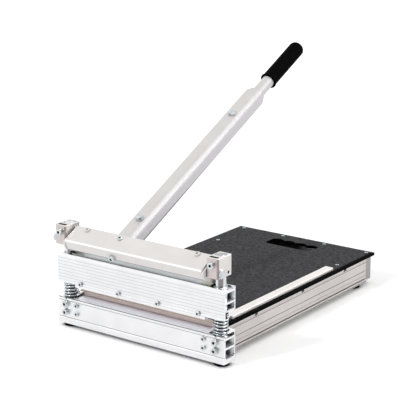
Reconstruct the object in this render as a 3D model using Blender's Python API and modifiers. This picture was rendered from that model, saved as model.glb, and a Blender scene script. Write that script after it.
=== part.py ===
"""Laminate plank shear: a hinged lever with two cams presses a spring-raised blade carriage down two posts.

Frame: metres, +X right along the beams, +Y back over the deck, +Z up. The front faces of the two beams
lie in one plane, from which all Y values below are measured; the floor is zero. At the end the whole
object is moved so that the middle of its footprint is the origin.
"""

import math

import bmesh
import bpy
from mathutils import Matrix, Vector

# Clearances and shares
GAP = 0.0003  # between pieces that touch
MERGE = 0.000003  # points nearer than this are one
LEAST_COIL_GAP = 0.0004
SHARP_ANGLE = math.radians(32)
BEVEL_ANGLE = math.radians(40)
OVERRUN = 0.004  # how far a cutter runs past what it cuts
EDGE = 0.0006  # small broken edge
ROUND_FINE = 28
ROUND_MID = 16
ROUND_SMALL = 12

# Beams
BEAM_HALF = 0.200
BEAM_DEPTH = 0.034
UPPER_LOW = 0.0917
UPPER_HIGH = 0.1505
LOWER_LOW = 0.0073
LOWER_HIGH = 0.0605
WALL = 0.003
LIP = 0.0032

# Upper beam section
HOLDER_POCKET_HIGH = 0.0993
UPPER_CAVITY_LOW = 0.1100
UPPER_WEB_LOW = 0.1215
UPPER_WEB_HIGH = 0.1250
CHANNEL_FLOOR = 0.1462
RIB_LOW = 0.0955
RIB_HIGH = 0.1460
RIB_COUNT = 16
RIB_DEPTH = 0.0005
CHANNEL_WALL = 0.0034

# Ends of the upper beam: an open screw port and a slanted rear corner
PORT_WALL = 0.0015
PORT_BACK = 0.0125
PORT_LOW = 0.0945
PORT_HIGH = 0.1068
PORT_RING_Y = 0.0108
PORT_RING_Z = 0.1000
PORT_RING = 0.0036
PORT_RING_BORE = 0.0020
CORNER_START = 0.1650
CORNER_FRONT = 0.0125
CORNER_HIGH = 0.1060
CORNER_TURN = 0.0270

# Lower beam section
LOWER_WEB_LOW = 0.0345
LOWER_WEB_HIGH = 0.0385
LOWER_CAVITY_LOW = 0.0165
LOWER_CAVITY_HIGH = 0.0530
LOWER_FLOOR = 0.0570
BAND_HIGH = 0.0190
BAND_PROUD = 0.0010
FACE_GROOVE_Z = 0.0552
FACE_GROOVE = 0.0012
END_LIP_LOW = 0.0640
END_LIP_HIGH = 0.0670
END_LIP_FRONT = 0.0125

# Anvil
PLATE_HALF = 0.1620
PLATE_HIGH = 0.0610
STRIP_DEPTH = 0.0033
ANVIL_HALF = 0.1600

# Posts, springs and bushes
POST_X = 0.180
POST_BEHIND = 0.0012  # between the hinge bolt and the post
POST_RADIUS = 0.0105
POST_LOW = 0.0110
POST_CHAMFER = 0.0010
POCKET_SLACK = 0.0012
WASHER_THICK = 0.0015
WASHER_RIM = 0.0003
SPRING_SLACK = 0.0016
WIRE_RADIUS = 0.0013
SPRING_CURLS = 5
POINTS_PER_CURL = 9
CLOSED_CURL_SHARE = 0.62  # rise of an end curl against a middle one
BUSH_WALL = 0.0022
BUSH_PROUD = 0.0015
BUSH_RIM = 0.0018
BUSH_FLANGE = 0.0020

# Post blocks
BLOCK_CLEAR = 0.0005
BLOCK_WIDTH = 0.0267
BLOCK_FRONT = -0.0110
BLOCK_WALL = 0.0047
BLOCK_LOW = 0.1720
BLOCK_HIGH = 0.2110
BLOCK_CORNER = 0.0028
NUT_SLOT_FRONT = -0.0076
NUT_SLOT_BACK = -0.0006
NUT_SLOT_HALF = 0.0102
NUT_SLOT_LOW = 0.1905
CLAMP_Z = 0.1977
GRUB_Y = 0.0205
GRUB_Z = 0.1790
GRUB_RADIUS = 0.0030
GRUB_DEPTH = 0.0060

# Pivot and lever
PIVOT_Z = 0.1810
PIVOT_RADIUS = 0.0040
TILT = math.radians(26.5)
HEX_HEAD = 0.0095
HEX_RADIUS = 0.0075
ROUND_HEAD = 0.0026
ROUND_HEAD_RADIUS = 0.0092
LEVER_HALF = 0.1625
LEVER_WALL = 0.0030
RIDGE_S = -0.0169
FLANGE_TOP = 0.0141
TOP_FLANGE = 0.0448
FRONT_FLANGE = 0.0233
RIDGE_RADIUS = 0.0042
RIDGE_STEPS = 5

# Cams
CAM_THICK = 0.0038
CAM_RATIO = 0.022
CAM_REACH = 0.0278
CAM_LIFT_TURN = math.radians(20)
CAM_PRESS_TURN = math.radians(36)
CAM_STEPS = 14
FOOT_COVER_SHARE = 2 / 3  # of a cam's thickness that its foot joins
HUB_RADIUS = 0.0195
FOOT_INNER = 0.1180
FOOT_THICK = 0.0040
FOOT_START = 0.0075
FOOT_END = 0.0255
CAM_SCREW_X = 0.1310
CAM_SCREW_S = 0.0205

# Handle
TUBE_X = -0.0480
TUBE_RADIUS = 0.01325
TUBE_WALL = 0.0020
TUBE_START = 0.0008
TUBE_END = 0.6900
PLUG_RADIUS = 0.0090
PLUG_DEPTH = 0.0160
ARM_WALL = 0.0030
ARM_LEFT = -0.0632
ARM_DROP = 0.0310
ARM_START = -0.0125
ARM_END = 0.5180
ARM_CHAMFER = 0.0100
ARM_CORNER_STEPS = 8
GRIP_START = 0.5650
GRIP_END = 0.6970
GRIP_RADIUS = 0.0170
GRIP_FLANGE_RADIUS = 0.0185
GRIP_FLANGE = 0.0040
GRIP_TIP = 0.0125
TIP_STEPS = 4
ARM_BOLT_LOW = 0.0814
ARM_BOLT_HIGH = 0.4249
ARM_SCREW_S = 0.0170
TUBE_BOLT_D = -0.0030
TUBE_BOLT_REACH = 0.0140

# Press strip, blade and holder
PRESS_HALF = 0.1658
PRESS_FRONT = 0.0045
PRESS_REAR = 0.0310
BLADE_HALF = 0.1568
BLADE_THICK = 0.0038
BLADE_EDGE = 0.0775
BLADE_BEVEL = 0.0065
BLADE_FLAT = 0.0003
BLADE_HIGH = 0.1045
HOLDER_HALF = 0.1560
HOLDER_LOW = 0.0855
BLADE_SCREW_INNER = 0.0472
BLADE_SCREW_OUTER = 0.1412
BLADE_SCREW_Z = 0.0950
BLADE_SCREW_REACH = 0.0120

# Body
RAIL_OUTER = 0.1726
RAIL_INNER = 0.1400
RAIL_LOW = 0.0095
RAIL_WEB_INNER = 0.1480
RAIL_WEB_OUTER = 0.1580
RAIL_SKIN = 0.0052
RAIL_FLOOR_LOW = 0.0350
RAIL_FLOOR_HIGH = 0.0380
RAIL_STEP = 0.0014
RAIL_BAND_LOW = 0.0568
RAIL_BAND_LINE = 0.0012
RAIL_GROOVE_LOW = 0.0155
RAIL_GROOVE_HIGH = 0.0175
RAIL_GROOVE_DEPTH = 0.0038
RAIL_LINE_Z = 0.0349
RAIL_LINE = 0.0013
NOTCH_RADIUS = 0.0048
NOTCH_DROP = 0.0020
NOTCH_DEPTH = 0.0042
REAR_RAIL_DEPTH = 0.0270
REAR_RAIL_HALF = 0.1680
REAR_RAIL_WALL = 0.0030
DECK_HALF = 0.1744
DECK_BACK = 0.5933
DECK_THICK = 0.0062
SIDE_SCREW_X = 0.1530
DECK_OVERHANG = 0.0033
SIDE_SCREW_INSET = 0.1193
SIDE_SCREW_PITCH = 0.1650
SIDE_SCREW_COUNT = 3
REAR_SCREW_INSET = 0.0088
REAR_SCREW_OUTER = 0.1590
REAR_SCREW_INNER = 0.0535
FENCE_INNER = 0.1493
FENCE_OUTER = 0.1678
FENCE_FRONT = 0.0717
FENCE_BACK = 0.4330
FENCE_THICK = 0.0065
FOOT_X = 0.1820
FRONT_FOOT_RADIUS = 0.0150
FRONT_FOOT_Y = 0.0170
REAR_FOOT_X = 0.1510
REAR_FOOT_INSET = 0.0513
REAR_FOOT_RADIUS = 0.0165

# Hand hole in the deck
HOLE_HALF = 0.0580
HOLE_INSET = 0.0413
HOLE_DEPTH = 0.0360
HOLE_WAVES = 4
HOLE_WAVE_DEPTH = 0.0070
HOLE_WAVE_STEPS = 6

# Screws
M8_HEAD_RADIUS = 0.0065
M8_HEAD = 0.0070
M8_RADIUS = 0.0040
M6_HEAD_RADIUS = 0.0048
M6_HEAD = 0.0040
M6_RADIUS = 0.0030
WASHER_FACE_RADIUS = 0.0080
WASHER_FACE = 0.0016
BOLT_HEAD = 0.0053
SOCKET_SHARE = 0.48
SOCKET_DEPTH_SHARE = 0.55
COUNTERSUNK_RADIUS = 0.0044
COUNTERSUNK_SHANK = 0.0020
COUNTERSUNK_HIGH = 0.0024
DECK_SCREW_REACH = 0.0090
RAIL_SCREW_Z = (0.0485, 0.0315)
RAIL_SCREW_REACH = 0.0120
POST_SCREW_Z = (0.0480, 0.0313)

# Finishes
FINISHES = {
    "silver_aluminium": ((0.86, 0.86, 0.87), 1.0, 0.38),
    "ground_steel": ((0.72, 0.72, 0.75), 1.0, 0.30),
    "bright_zinc": ((0.80, 0.82, 0.84), 1.0, 0.22),
    "white_lacquer": ((0.83, 0.82, 0.81), 0.0, 0.42),
    "black_texture": ((0.03, 0.03, 0.032), 0.0, 0.85),
    "black_rubber": ((0.012, 0.012, 0.012), 0.0, 0.70),
    "tan_laminate": ((0.36, 0.27, 0.23), 0.0, 0.55),
}


def clear_scene():
    for item in list(bpy.data.objects):
        bpy.data.objects.remove(item, do_unlink=True)


clear_scene()
PARTS = bpy.data.collections.new("laminate_cutter")
CUTTERS = bpy.data.collections.new("cutters")
CUTTERS.hide_render = True
bpy.context.scene.collection.children.link(PARTS)
bpy.context.scene.collection.children.link(CUTTERS)


def finish(name):
    found = bpy.data.materials.get(name)
    if found:
        return found
    color, metallic, roughness = FINISHES[name]
    found = bpy.data.materials.new(name)
    found.use_nodes = True
    shader = found.node_tree.nodes["Principled BSDF"]
    shader.inputs["Base Color"].default_value = (*color, 1.0)
    shader.inputs["Metallic"].default_value = metallic
    shader.inputs["Roughness"].default_value = roughness
    return found


def empty(name, location, parent=None, turn=0.0):
    made = bpy.data.objects.new(name, None)
    made.location = location
    made.rotation_euler = (turn, 0.0, 0.0)
    made.parent = parent
    PARTS.objects.link(made)
    return made


ROOT = empty("footprint_middle", (0.0, 0.0, 0.0))
CARRIAGE = empty("carriage_slide_axis", (0.0, 0.0, UPPER_LOW), ROOT)
LEVER = empty("lever_hinge_axis", (0.0, 0.0, PIVOT_Z), ROOT, TILT)


def place(name, mesh, parent, material=None, smooth=True):
    """Makes the object of a mesh that was drawn in the frame of its parent."""
    made = bpy.data.objects.new(name, mesh)
    made.parent = parent
    if material is None:
        made.display_type = "WIRE"
        made.hide_render = True
        CUTTERS.objects.link(made)
        return made
    PARTS.objects.link(made)
    mesh.materials.clear()
    mesh.materials.append(finish(material))
    if smooth:
        mesh.shade_smooth()
        mesh.set_sharp_from_angle(angle=SHARP_ANGLE)
    return made


AXES = {
    "X": Matrix(((0, 0, 1, 0), (1, 0, 0, 0), (0, 1, 0, 0), (0, 0, 0, 1))),
    "Y": Matrix(((1, 0, 0, 0), (0, 0, -1, 0), (0, 1, 0, 0), (0, 0, 0, 1))),
    "Z": Matrix.Identity(4),
}


def evaluated_mesh(helper, name):
    """The evaluated mesh of a helper object that is then removed, with its coincident points merged."""
    bpy.context.scene.collection.objects.link(helper)
    bpy.context.view_layer.update()
    graph = bpy.context.evaluated_depsgraph_get()
    mesh = bpy.data.meshes.new_from_object(helper.evaluated_get(graph))
    bpy.data.objects.remove(helper, do_unlink=True)
    mesh.name = name
    work = bmesh.new()
    work.from_mesh(mesh)
    bmesh.ops.remove_doubles(work, verts=work.verts, dist=MERGE)
    bmesh.ops.recalc_face_normals(work, faces=work.faces)
    work.to_mesh(mesh)
    work.free()
    return mesh


def extruded(name, loops, low, high, axis):
    """Closed outlines, filled and drawn out along an axis from low to high.

    Outlines are (Y, Z) for axis X, (X, Z) for axis Y and (X, Y) for axis Z.
    """
    curve = bpy.data.curves.new(name, "CURVE")
    curve.dimensions = "2D"
    curve.fill_mode = "BOTH"
    curve.extrude = (high - low) / 2
    for loop in loops:
        spline = curve.splines.new("POLY")
        spline.points.add(len(loop) - 1)
        for point, (u, v) in zip(spline.points, loop):
            point.co = (u, v, 0.0, 1.0)
        spline.use_cyclic_u = True
    mesh = evaluated_mesh(bpy.data.objects.new(name, curve), name)
    bpy.data.curves.remove(curve)
    middle = (low + high) / 2
    if axis == "Y":
        middle = -middle
    mesh.transform(AXES[axis] @ Matrix.Translation((0.0, 0.0, middle)))
    return mesh


def revolved(name, profile, steps, axis="Z", at=(0.0, 0.0, 0.0), flip=False):
    """A profile of (radius, height) points, listed from the top down its outer side, turned about an axis."""
    mesh = bpy.data.meshes.new(name)
    edges = [(i, i + 1) for i in range(len(profile) - 1)]
    if profile[0][0] > 0 or profile[-1][0] > 0:
        edges.append((len(profile) - 1, 0))
    mesh.from_pydata([(r, 0.0, h) for r, h in profile], edges, [])
    helper = bpy.data.objects.new(name, mesh)
    screw = helper.modifiers.new("Turn", "SCREW")
    screw.axis = "Z"
    screw.steps = steps
    screw.render_steps = steps
    screw.use_merge_vertices = True
    screw.merge_threshold = MERGE
    made = evaluated_mesh(helper, name)
    turn = AXES[axis]
    if flip:
        turn = turn @ Matrix.Rotation(math.pi, 4, "X")
    made.transform(Matrix.Translation(at) @ turn)
    return made


def block(name, low, high):
    """A box between two corners."""
    mesh = bpy.data.meshes.new(name)
    work = bmesh.new()
    bmesh.ops.create_cube(work, size=1.0)
    size = [b - a for a, b in zip(low, high)]
    middle = [(a + b) / 2 for a, b in zip(low, high)]
    bmesh.ops.scale(work, vec=size, verts=work.verts)
    bmesh.ops.translate(work, vec=middle, verts=work.verts)
    work.to_mesh(mesh)
    work.free()
    return mesh


def rod(name, radius, low, high, axis, at, steps=ROUND_MID):
    """A plain cylinder along an axis from low to high, through the point at."""
    middle = Vector(at)
    middle["XYZ".index(axis)] = 0.0
    span = {"X": (1, 0, 0), "Y": (0, -1, 0), "Z": (0, 0, 1)}[axis]
    ends = sorted((low * sum(span), high * sum(span)))
    profile = [(0.0, ends[1]), (radius, ends[1]), (radius, ends[0]), (0.0, ends[0])]
    return revolved(name, profile, steps, axis, middle)


def cut(piece, mesh):
    """Takes a cutter's shape away from a piece."""
    cutter = place("cut_" + mesh.name, mesh, piece.parent)
    boolean = piece.modifiers.new(mesh.name, "BOOLEAN")
    boolean.operation = "DIFFERENCE"
    boolean.solver = "EXACT"
    boolean.object = cutter


def join(piece, mesh):
    """Adds an overlapping shape to a piece."""
    added = place("add_" + mesh.name, mesh, piece.parent)
    boolean = piece.modifiers.new(mesh.name, "BOOLEAN")
    boolean.operation = "UNION"
    boolean.solver = "EXACT"
    boolean.object = added


def bevel(piece, width=EDGE, segments=1):
    made = piece.modifiers.new("Edges", "BEVEL")
    made.width = width
    made.segments = segments
    made.limit_method = "ANGLE"
    made.angle_limit = BEVEL_ANGLE
    made.use_clamp_overlap = True
    return made


def hex_outline(radius, steps=6):
    return [
        (radius * math.cos(2 * math.pi * i / steps), radius * math.sin(2 * math.pi * i / steps))
        for i in range(steps)
    ]


def socket_screw(name, head_radius, head, radius, reach, axis, at, parent, outward=1, steps=ROUND_MID):
    """A cylinder head screw with a hexagon socket. Its head rests a gap above at, and it points away from outward."""
    profile = [
        (0.0, head + GAP),
        (head_radius - EDGE, head + GAP),
        (head_radius, head + GAP - EDGE),
        (head_radius, GAP),
        (radius, GAP),
        (radius, EDGE - reach),
        (radius - EDGE, -reach),
        (0.0, -reach),
    ]
    mesh = revolved(name, profile, steps)
    piece_turn = AXES[axis]
    if outward * {"X": 1, "Y": -1, "Z": 1}[axis] < 0:
        piece_turn = piece_turn @ Matrix.Rotation(math.pi, 4, "X")
    seat = Matrix.Translation(at) @ piece_turn
    mesh.transform(seat)
    made = place(name, mesh, parent, "bright_zinc")
    depth = head * SOCKET_DEPTH_SHARE
    socket = extruded(
        name + "_socket",
        [hex_outline(head_radius * SOCKET_SHARE)],
        head + GAP - depth,
        head + OVERRUN,
        "Z",
    )
    socket.transform(seat)
    cut(made, socket)
    return made


def countersunk_screw(name, at, parent):
    profile = [
        (0.0, -GAP),
        (COUNTERSUNK_RADIUS, -GAP),
        (COUNTERSUNK_SHANK, -COUNTERSUNK_HIGH),
        (COUNTERSUNK_SHANK, -DECK_SCREW_REACH + EDGE),
        (0.0, -DECK_SCREW_REACH),
    ]
    mesh = revolved(name, profile, ROUND_SMALL, "Z", at)
    made = place(name, mesh, parent, "bright_zinc")
    head = COUNTERSUNK_RADIUS * SOCKET_SHARE
    slot = extruded(name + "_socket", [hex_outline(head)], -COUNTERSUNK_HIGH / 2, OVERRUN, "Z")
    slot.transform(Matrix.Translation(at))
    cut(made, slot)
    return made


def countersink(name, at, floor):
    """The hole that a countersunk screw needs, down to a floor."""
    clear = COUNTERSUNK_SHANK + GAP
    profile = [
        (0.0, OVERRUN),
        (COUNTERSUNK_RADIUS + GAP, OVERRUN),
        (COUNTERSUNK_RADIUS + GAP, -GAP),
        (clear, -COUNTERSUNK_HIGH),
        (clear, floor),
        (0.0, floor),
    ]
    return revolved(name, profile, ROUND_SMALL, "Z", at)


def hull(points):
    """The convex outline of some points, anticlockwise."""
    points = sorted(set(points))

    def half(run):
        kept = []
        for p in run:
            while len(kept) > 1:
                (ax, ay), (bx, by) = kept[-2:]
                if (bx - ax) * (p[1] - ay) - (by - ay) * (p[0] - ax) > 0:
                    break
                kept.pop()
            kept.append(p)
        return kept[:-1]

    return half(points) + half(points[::-1])


def turned(point, angle):
    u, v = point
    return u * math.cos(angle) - v * math.sin(angle), u * math.sin(angle) + v * math.cos(angle)


# Derived levels
CARRIAGE_LIFT = Vector((0.0, 0.0, -UPPER_LOW))
DECK_TOP = PLATE_HIGH + GAP + DECK_THICK
STRIP_FRONT = BEAM_DEPTH - STRIP_DEPTH
DECK_FRONT = BEAM_DEPTH + GAP
BLADE_REAR = STRIP_FRONT - GAP
BLADE_FRONT = BLADE_REAR - BLADE_THICK
HOLDER_REAR = BLADE_FRONT - GAP
PRESS_LOW = CHANNEL_FLOOR + GAP
PRESS_HIGH = PIVOT_Z - CAM_REACH - GAP
WASHER_LOW = LOWER_FLOOR + GAP
SPRING_LOW = WASHER_LOW + WASHER_THICK + GAP
BUSH_SEAT = UPPER_LOW - GAP - BUSH_FLANGE
SPRING_HIGH = BUSH_SEAT - GAP
ARM_TOP = FLANGE_TOP - LEVER_WALL - GAP
TUBE_D = ARM_TOP - ARM_WALL - GAP - TUBE_RADIUS
ARM_RIGHT = TUBE_X + TUBE_RADIUS + GAP + ARM_WALL
CAM_INNER = LEVER_HALF + GAP
CAM_OUTER = CAM_INNER + CAM_THICK
BLOCK_INNER = CAM_OUTER + BLOCK_CLEAR
BLOCK_OUTER = BLOCK_INNER + BLOCK_WIDTH
POST_Y = PIVOT_RADIUS + GAP + POST_BEHIND + POST_RADIUS
BLOCK_REAR = POST_Y + POST_RADIUS + GAP + BLOCK_WALL
POST_HIGH = BLOCK_HIGH
BUSH_RADIUS = POST_RADIUS + GAP + BUSH_WALL
BUSH_FLANGE_RADIUS = BUSH_RADIUS + BUSH_RIM
SPRING_RADIUS = POST_RADIUS + SPRING_SLACK + WIRE_RADIUS
WASHER_RADIUS = SPRING_RADIUS + WIRE_RADIUS + WASHER_RIM
POCKET_RADIUS = WASHER_RADIUS + POCKET_SLACK
PORT_DEPTH = BEAM_HALF - POST_X - BUSH_RADIUS - PORT_WALL
REAR_RAIL_BACK = DECK_BACK - DECK_OVERHANG
REAR_RAIL_FRONT = REAR_RAIL_BACK - REAR_RAIL_DEPTH
REAR_SCREW_Y = DECK_BACK - REAR_SCREW_INSET
REAR_FOOT_Y = DECK_BACK - REAR_FOOT_INSET
HOLE_BACK = DECK_BACK - HOLE_INSET
HOLE_FRONT = HOLE_BACK - HOLE_DEPTH
SIDE_SCREWS = [DECK_BACK - SIDE_SCREW_INSET - SIDE_SCREW_PITCH * i for i in range(SIDE_SCREW_COUNT)]


def lowered(mesh):
    """Drawn at its height above the floor, moved into the frame of the carriage."""
    mesh.transform(Matrix.Translation(CARRIAGE_LIFT))
    return mesh


# Lower beam: two chambers, a front lip, a rear hook at the ends and a proud foot band
def lower_beam():
    front_groove = FACE_GROOVE_Z - FACE_GROOVE
    outer = [
        (-BAND_PROUD, LOWER_LOW),
        (BEAM_DEPTH, LOWER_LOW),
        (BEAM_DEPTH, END_LIP_HIGH),
        (END_LIP_FRONT, END_LIP_HIGH),
        (END_LIP_FRONT, END_LIP_LOW),
        (BEAM_DEPTH - WALL, END_LIP_LOW),
        (BEAM_DEPTH - WALL, LOWER_FLOOR),
        (LIP, LOWER_FLOOR),
        (LIP, LOWER_HIGH),
        (0.0, LOWER_HIGH),
        (0.0, FACE_GROOVE_Z),
        (FACE_GROOVE, FACE_GROOVE_Z),
        (FACE_GROOVE, front_groove),
        (0.0, front_groove),
        (0.0, BAND_HIGH),
        (-BAND_PROUD, BAND_HIGH - BAND_PROUD),
    ]
    rear = BEAM_DEPTH - WALL
    chambers = [
        [(WALL, LOWER_CAVITY_LOW), (rear, LOWER_CAVITY_LOW), (rear, LOWER_WEB_LOW), (WALL, LOWER_WEB_LOW)],
        [(WALL, LOWER_WEB_HIGH), (rear, LOWER_WEB_HIGH), (rear, LOWER_CAVITY_HIGH), (WALL, LOWER_CAVITY_HIGH)],
    ]
    mesh = extruded("lower_beam", [outer, *chambers], -BEAM_HALF, BEAM_HALF, "X")
    beam = place("lower_beam", mesh, ROOT, "silver_aluminium")
    trim = block(
        "throat_trim",
        (-PLATE_HALF - GAP, LIP + GAP, LOWER_FLOOR),
        (PLATE_HALF + GAP, BEAM_DEPTH + OVERRUN, END_LIP_HIGH + OVERRUN),
    )
    cut(beam, trim)
    for side in (-1, 1):
        tag = "left" if side < 0 else "right"
        at = (side * POST_X, POST_Y, 0.0)
        cut(beam, rod("post_hole_" + tag, POST_RADIUS + GAP, POST_LOW - GAP, LOWER_HIGH, "Z", at, ROUND_FINE))
        pocket = rod("pocket_" + tag, POCKET_RADIUS, LOWER_FLOOR, END_LIP_HIGH + OVERRUN, "Z", at, ROUND_FINE)
        cut(beam, pocket)
        for order, level in enumerate(POST_SCREW_Z):
            hole = rod(
                f"post_screw_hole_{tag}_{order}", M8_RADIUS + GAP, -OVERRUN, POST_Y,
                "Y", (side * POST_X, 0.0, level), ROUND_SMALL,
            )
            cut(beam, hole)
        for order, level in enumerate(RAIL_SCREW_Z):
            hole = rod(
                f"rail_screw_hole_{tag}_{order}", M6_RADIUS + GAP, -OVERRUN, BEAM_DEPTH + OVERRUN,
                "Y", (side * SIDE_SCREW_X, 0.0, level), ROUND_SMALL,
            )
            cut(beam, hole)
    return beam


def anvil():
    thick = PLATE_HIGH - LOWER_FLOOR - GAP
    plate = block(
        "lower_plate",
        (-PLATE_HALF, LIP + GAP + GAP, PLATE_HIGH - thick),
        (PLATE_HALF, BEAM_DEPTH, PLATE_HIGH),
    )
    made = place("lower_plate", plate, ROOT, "ground_steel", False)
    bevel(made)
    for side in (-1, 1):
        tag = "left" if side < 0 else "right"
        at = (side * POST_X, POST_Y, 0.0)
        cut(made, rod("plate_relief_" + tag, POCKET_RADIUS + GAP, LOWER_LOW, UPPER_LOW, "Z", at, ROUND_FINE))
    strip = block(
        "anvil_strip",
        (-ANVIL_HALF, STRIP_FRONT, PLATE_HIGH + GAP),
        (ANVIL_HALF, BEAM_DEPTH, DECK_TOP),
    )
    bevel(place("anvil_strip", strip, ROOT, "tan_laminate", False), EDGE / 2)


def post(tag, side):
    profile = [
        (0.0, POST_HIGH),
        (POST_RADIUS - POST_CHAMFER, POST_HIGH),
        (POST_RADIUS, POST_HIGH - POST_CHAMFER),
        (POST_RADIUS, POST_LOW + POST_CHAMFER),
        (POST_RADIUS - POST_CHAMFER, POST_LOW),
        (0.0, POST_LOW),
    ]
    mesh = revolved("guide_post_" + tag, profile, ROUND_FINE, "Z", (side * POST_X, POST_Y, 0.0))
    place("guide_post_" + tag, mesh, ROOT, "bright_zinc")
    bore = POST_RADIUS + GAP
    ring = [
        (bore, WASHER_LOW + WASHER_THICK),
        (WASHER_RADIUS, WASHER_LOW + WASHER_THICK),
        (WASHER_RADIUS, WASHER_LOW),
        (bore, WASHER_LOW),
    ]
    mesh = revolved("spring_washer_" + tag, ring, ROUND_MID, "Z", (side * POST_X, POST_Y, 0.0))
    place("spring_washer_" + tag, mesh, ROOT, "bright_zinc")


def post_block(tag, side):
    inner, outer = sorted((side * BLOCK_INNER, side * BLOCK_OUTER))
    mesh = block("post_block_" + tag, (inner, BLOCK_FRONT, BLOCK_LOW), (outer, BLOCK_REAR, BLOCK_HIGH))
    work = bmesh.new()
    work.from_mesh(mesh)
    upright = [e for e in work.edges if abs((e.verts[0].co - e.verts[1].co).z) > GAP]
    bmesh.ops.bevel(
        work, geom=upright, offset=BLOCK_CORNER, segments=3, profile=0.5, affect="EDGES", clamp_overlap=True
    )
    work.to_mesh(mesh)
    work.free()
    made = place("post_block_" + tag, mesh, ROOT, "silver_aluminium")
    bevel(made, EDGE)
    at = (side * POST_X, POST_Y, 0.0)
    low, high = BLOCK_LOW - OVERRUN, BLOCK_HIGH + OVERRUN
    cut(made, rod("bore_" + tag, POST_RADIUS + GAP, low, high, "Z", at, ROUND_FINE))
    cut(made, extruded("nut_slot_" + tag, [nut_slot_outline(side)], NUT_SLOT_LOW, high, "Z"))
    at = (side * POST_X, 0.0, CLAMP_Z)
    cut(made, rod("clamp_hole_" + tag, M8_RADIUS + GAP, BLOCK_FRONT - OVERRUN, POST_Y, "Y", at, ROUND_SMALL))
    ends = sorted((side * (BLOCK_INNER - OVERRUN), side * (BLOCK_OUTER + OVERRUN)))
    at = (0.0, 0.0, PIVOT_Z)
    cut(made, rod("hinge_hole_" + tag, PIVOT_RADIUS + GAP, *ends, "X", at, ROUND_MID))
    ends = sorted((side * (BLOCK_OUTER - GRUB_DEPTH), side * (BLOCK_OUTER + OVERRUN)))
    cut(made, rod("grub_hole_" + tag, GRUB_RADIUS, *ends, "X", (0.0, GRUB_Y, GRUB_Z), ROUND_SMALL))
    reach = POST_Y - POST_RADIUS - GAP - BLOCK_FRONT
    socket_screw(
        "block_clamp_screw_" + tag, M8_HEAD_RADIUS, M8_HEAD, M8_RADIUS, reach,
        "Y", (side * POST_X, BLOCK_FRONT, CLAMP_Z), ROOT, -1,
    )


def nut_slot_outline(side):
    """A slot with round ends in front of the post, for the nut of the clamp screw."""
    radius = (NUT_SLOT_BACK - NUT_SLOT_FRONT) / 2
    points = []
    for end in (1, -1):
        for i in range(ROUND_SMALL // 2 + 1):
            angle = math.pi * (i / (ROUND_SMALL // 2) - 1 / 2) * end
            across = end * (NUT_SLOT_HALF - radius) + end * radius * math.cos(angle)
            points.append((side * POST_X + across, NUT_SLOT_FRONT + radius + radius * math.sin(angle)))
    return points


def pivots():
    """The hinge bolts: a hexagon head on the left, a low round head on the right."""
    start = CAM_INNER + GAP
    low = BLOCK_OUTER + GAP
    left = [
        (0.0, low + HEX_HEAD),
        (HEX_RADIUS * math.cos(math.pi / 6), low + HEX_HEAD),
        (HEX_RADIUS, low + HEX_HEAD - EDGE - EDGE),
        (HEX_RADIUS, low),
        (PIVOT_RADIUS, low),
        (PIVOT_RADIUS, start),
        (0.0, start),
    ]
    mesh = revolved("pivot_bolt_left", left, ROUND_MID, "X", (0.0, 0.0, PIVOT_Z))
    mesh.transform(Matrix.Scale(-1, 4, (1, 0, 0)))
    mesh.flip_normals()
    bolt = place("pivot_bolt_left", mesh, ROOT, "bright_zinc")
    flats = extruded(
        "hex_flats",
        [hex_outline(HEX_RADIUS + OVERRUN + OVERRUN, ROUND_SMALL), hex_outline(HEX_RADIUS)],
        -low - HEX_HEAD - OVERRUN,
        -low + MERGE,
        "X",
    )
    flats.transform(Matrix.Translation((0.0, 0.0, PIVOT_Z)))
    cut(bolt, flats)
    right = [
        (0.0, low + ROUND_HEAD),
        (ROUND_HEAD_RADIUS - ROUND_HEAD / 2, low + ROUND_HEAD),
        (ROUND_HEAD_RADIUS, low + ROUND_HEAD / 2),
        (ROUND_HEAD_RADIUS, low),
        (PIVOT_RADIUS, low),
        (PIVOT_RADIUS, start),
        (0.0, start),
    ]
    mesh = revolved("pivot_bolt_right", right, ROUND_MID, "X", (0.0, 0.0, PIVOT_Z))
    place("pivot_bolt_right", mesh, ROOT, "bright_zinc")


def beam_screws():
    for side in (-1, 1):
        tag = "left" if side < 0 else "right"
        for order, level in zip(("upper", "lower"), POST_SCREW_Z):
            socket_screw(
                f"post_screw_{tag}_{order}", M8_HEAD_RADIUS, M8_HEAD, M8_RADIUS, POST_Y - POST_RADIUS - GAP,
                "Y", (side * POST_X, 0.0, level), ROOT, -1,
            )
        for order, level in zip(("upper", "lower"), RAIL_SCREW_Z):
            socket_screw(
                f"rail_screw_{tag}_{order}", M6_HEAD_RADIUS, M6_HEAD, M6_RADIUS,
                BEAM_DEPTH + RAIL_SCREW_REACH, "Y", (side * SIDE_SCREW_X, 0.0, level), ROOT, -1, ROUND_SMALL,
            )


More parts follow.
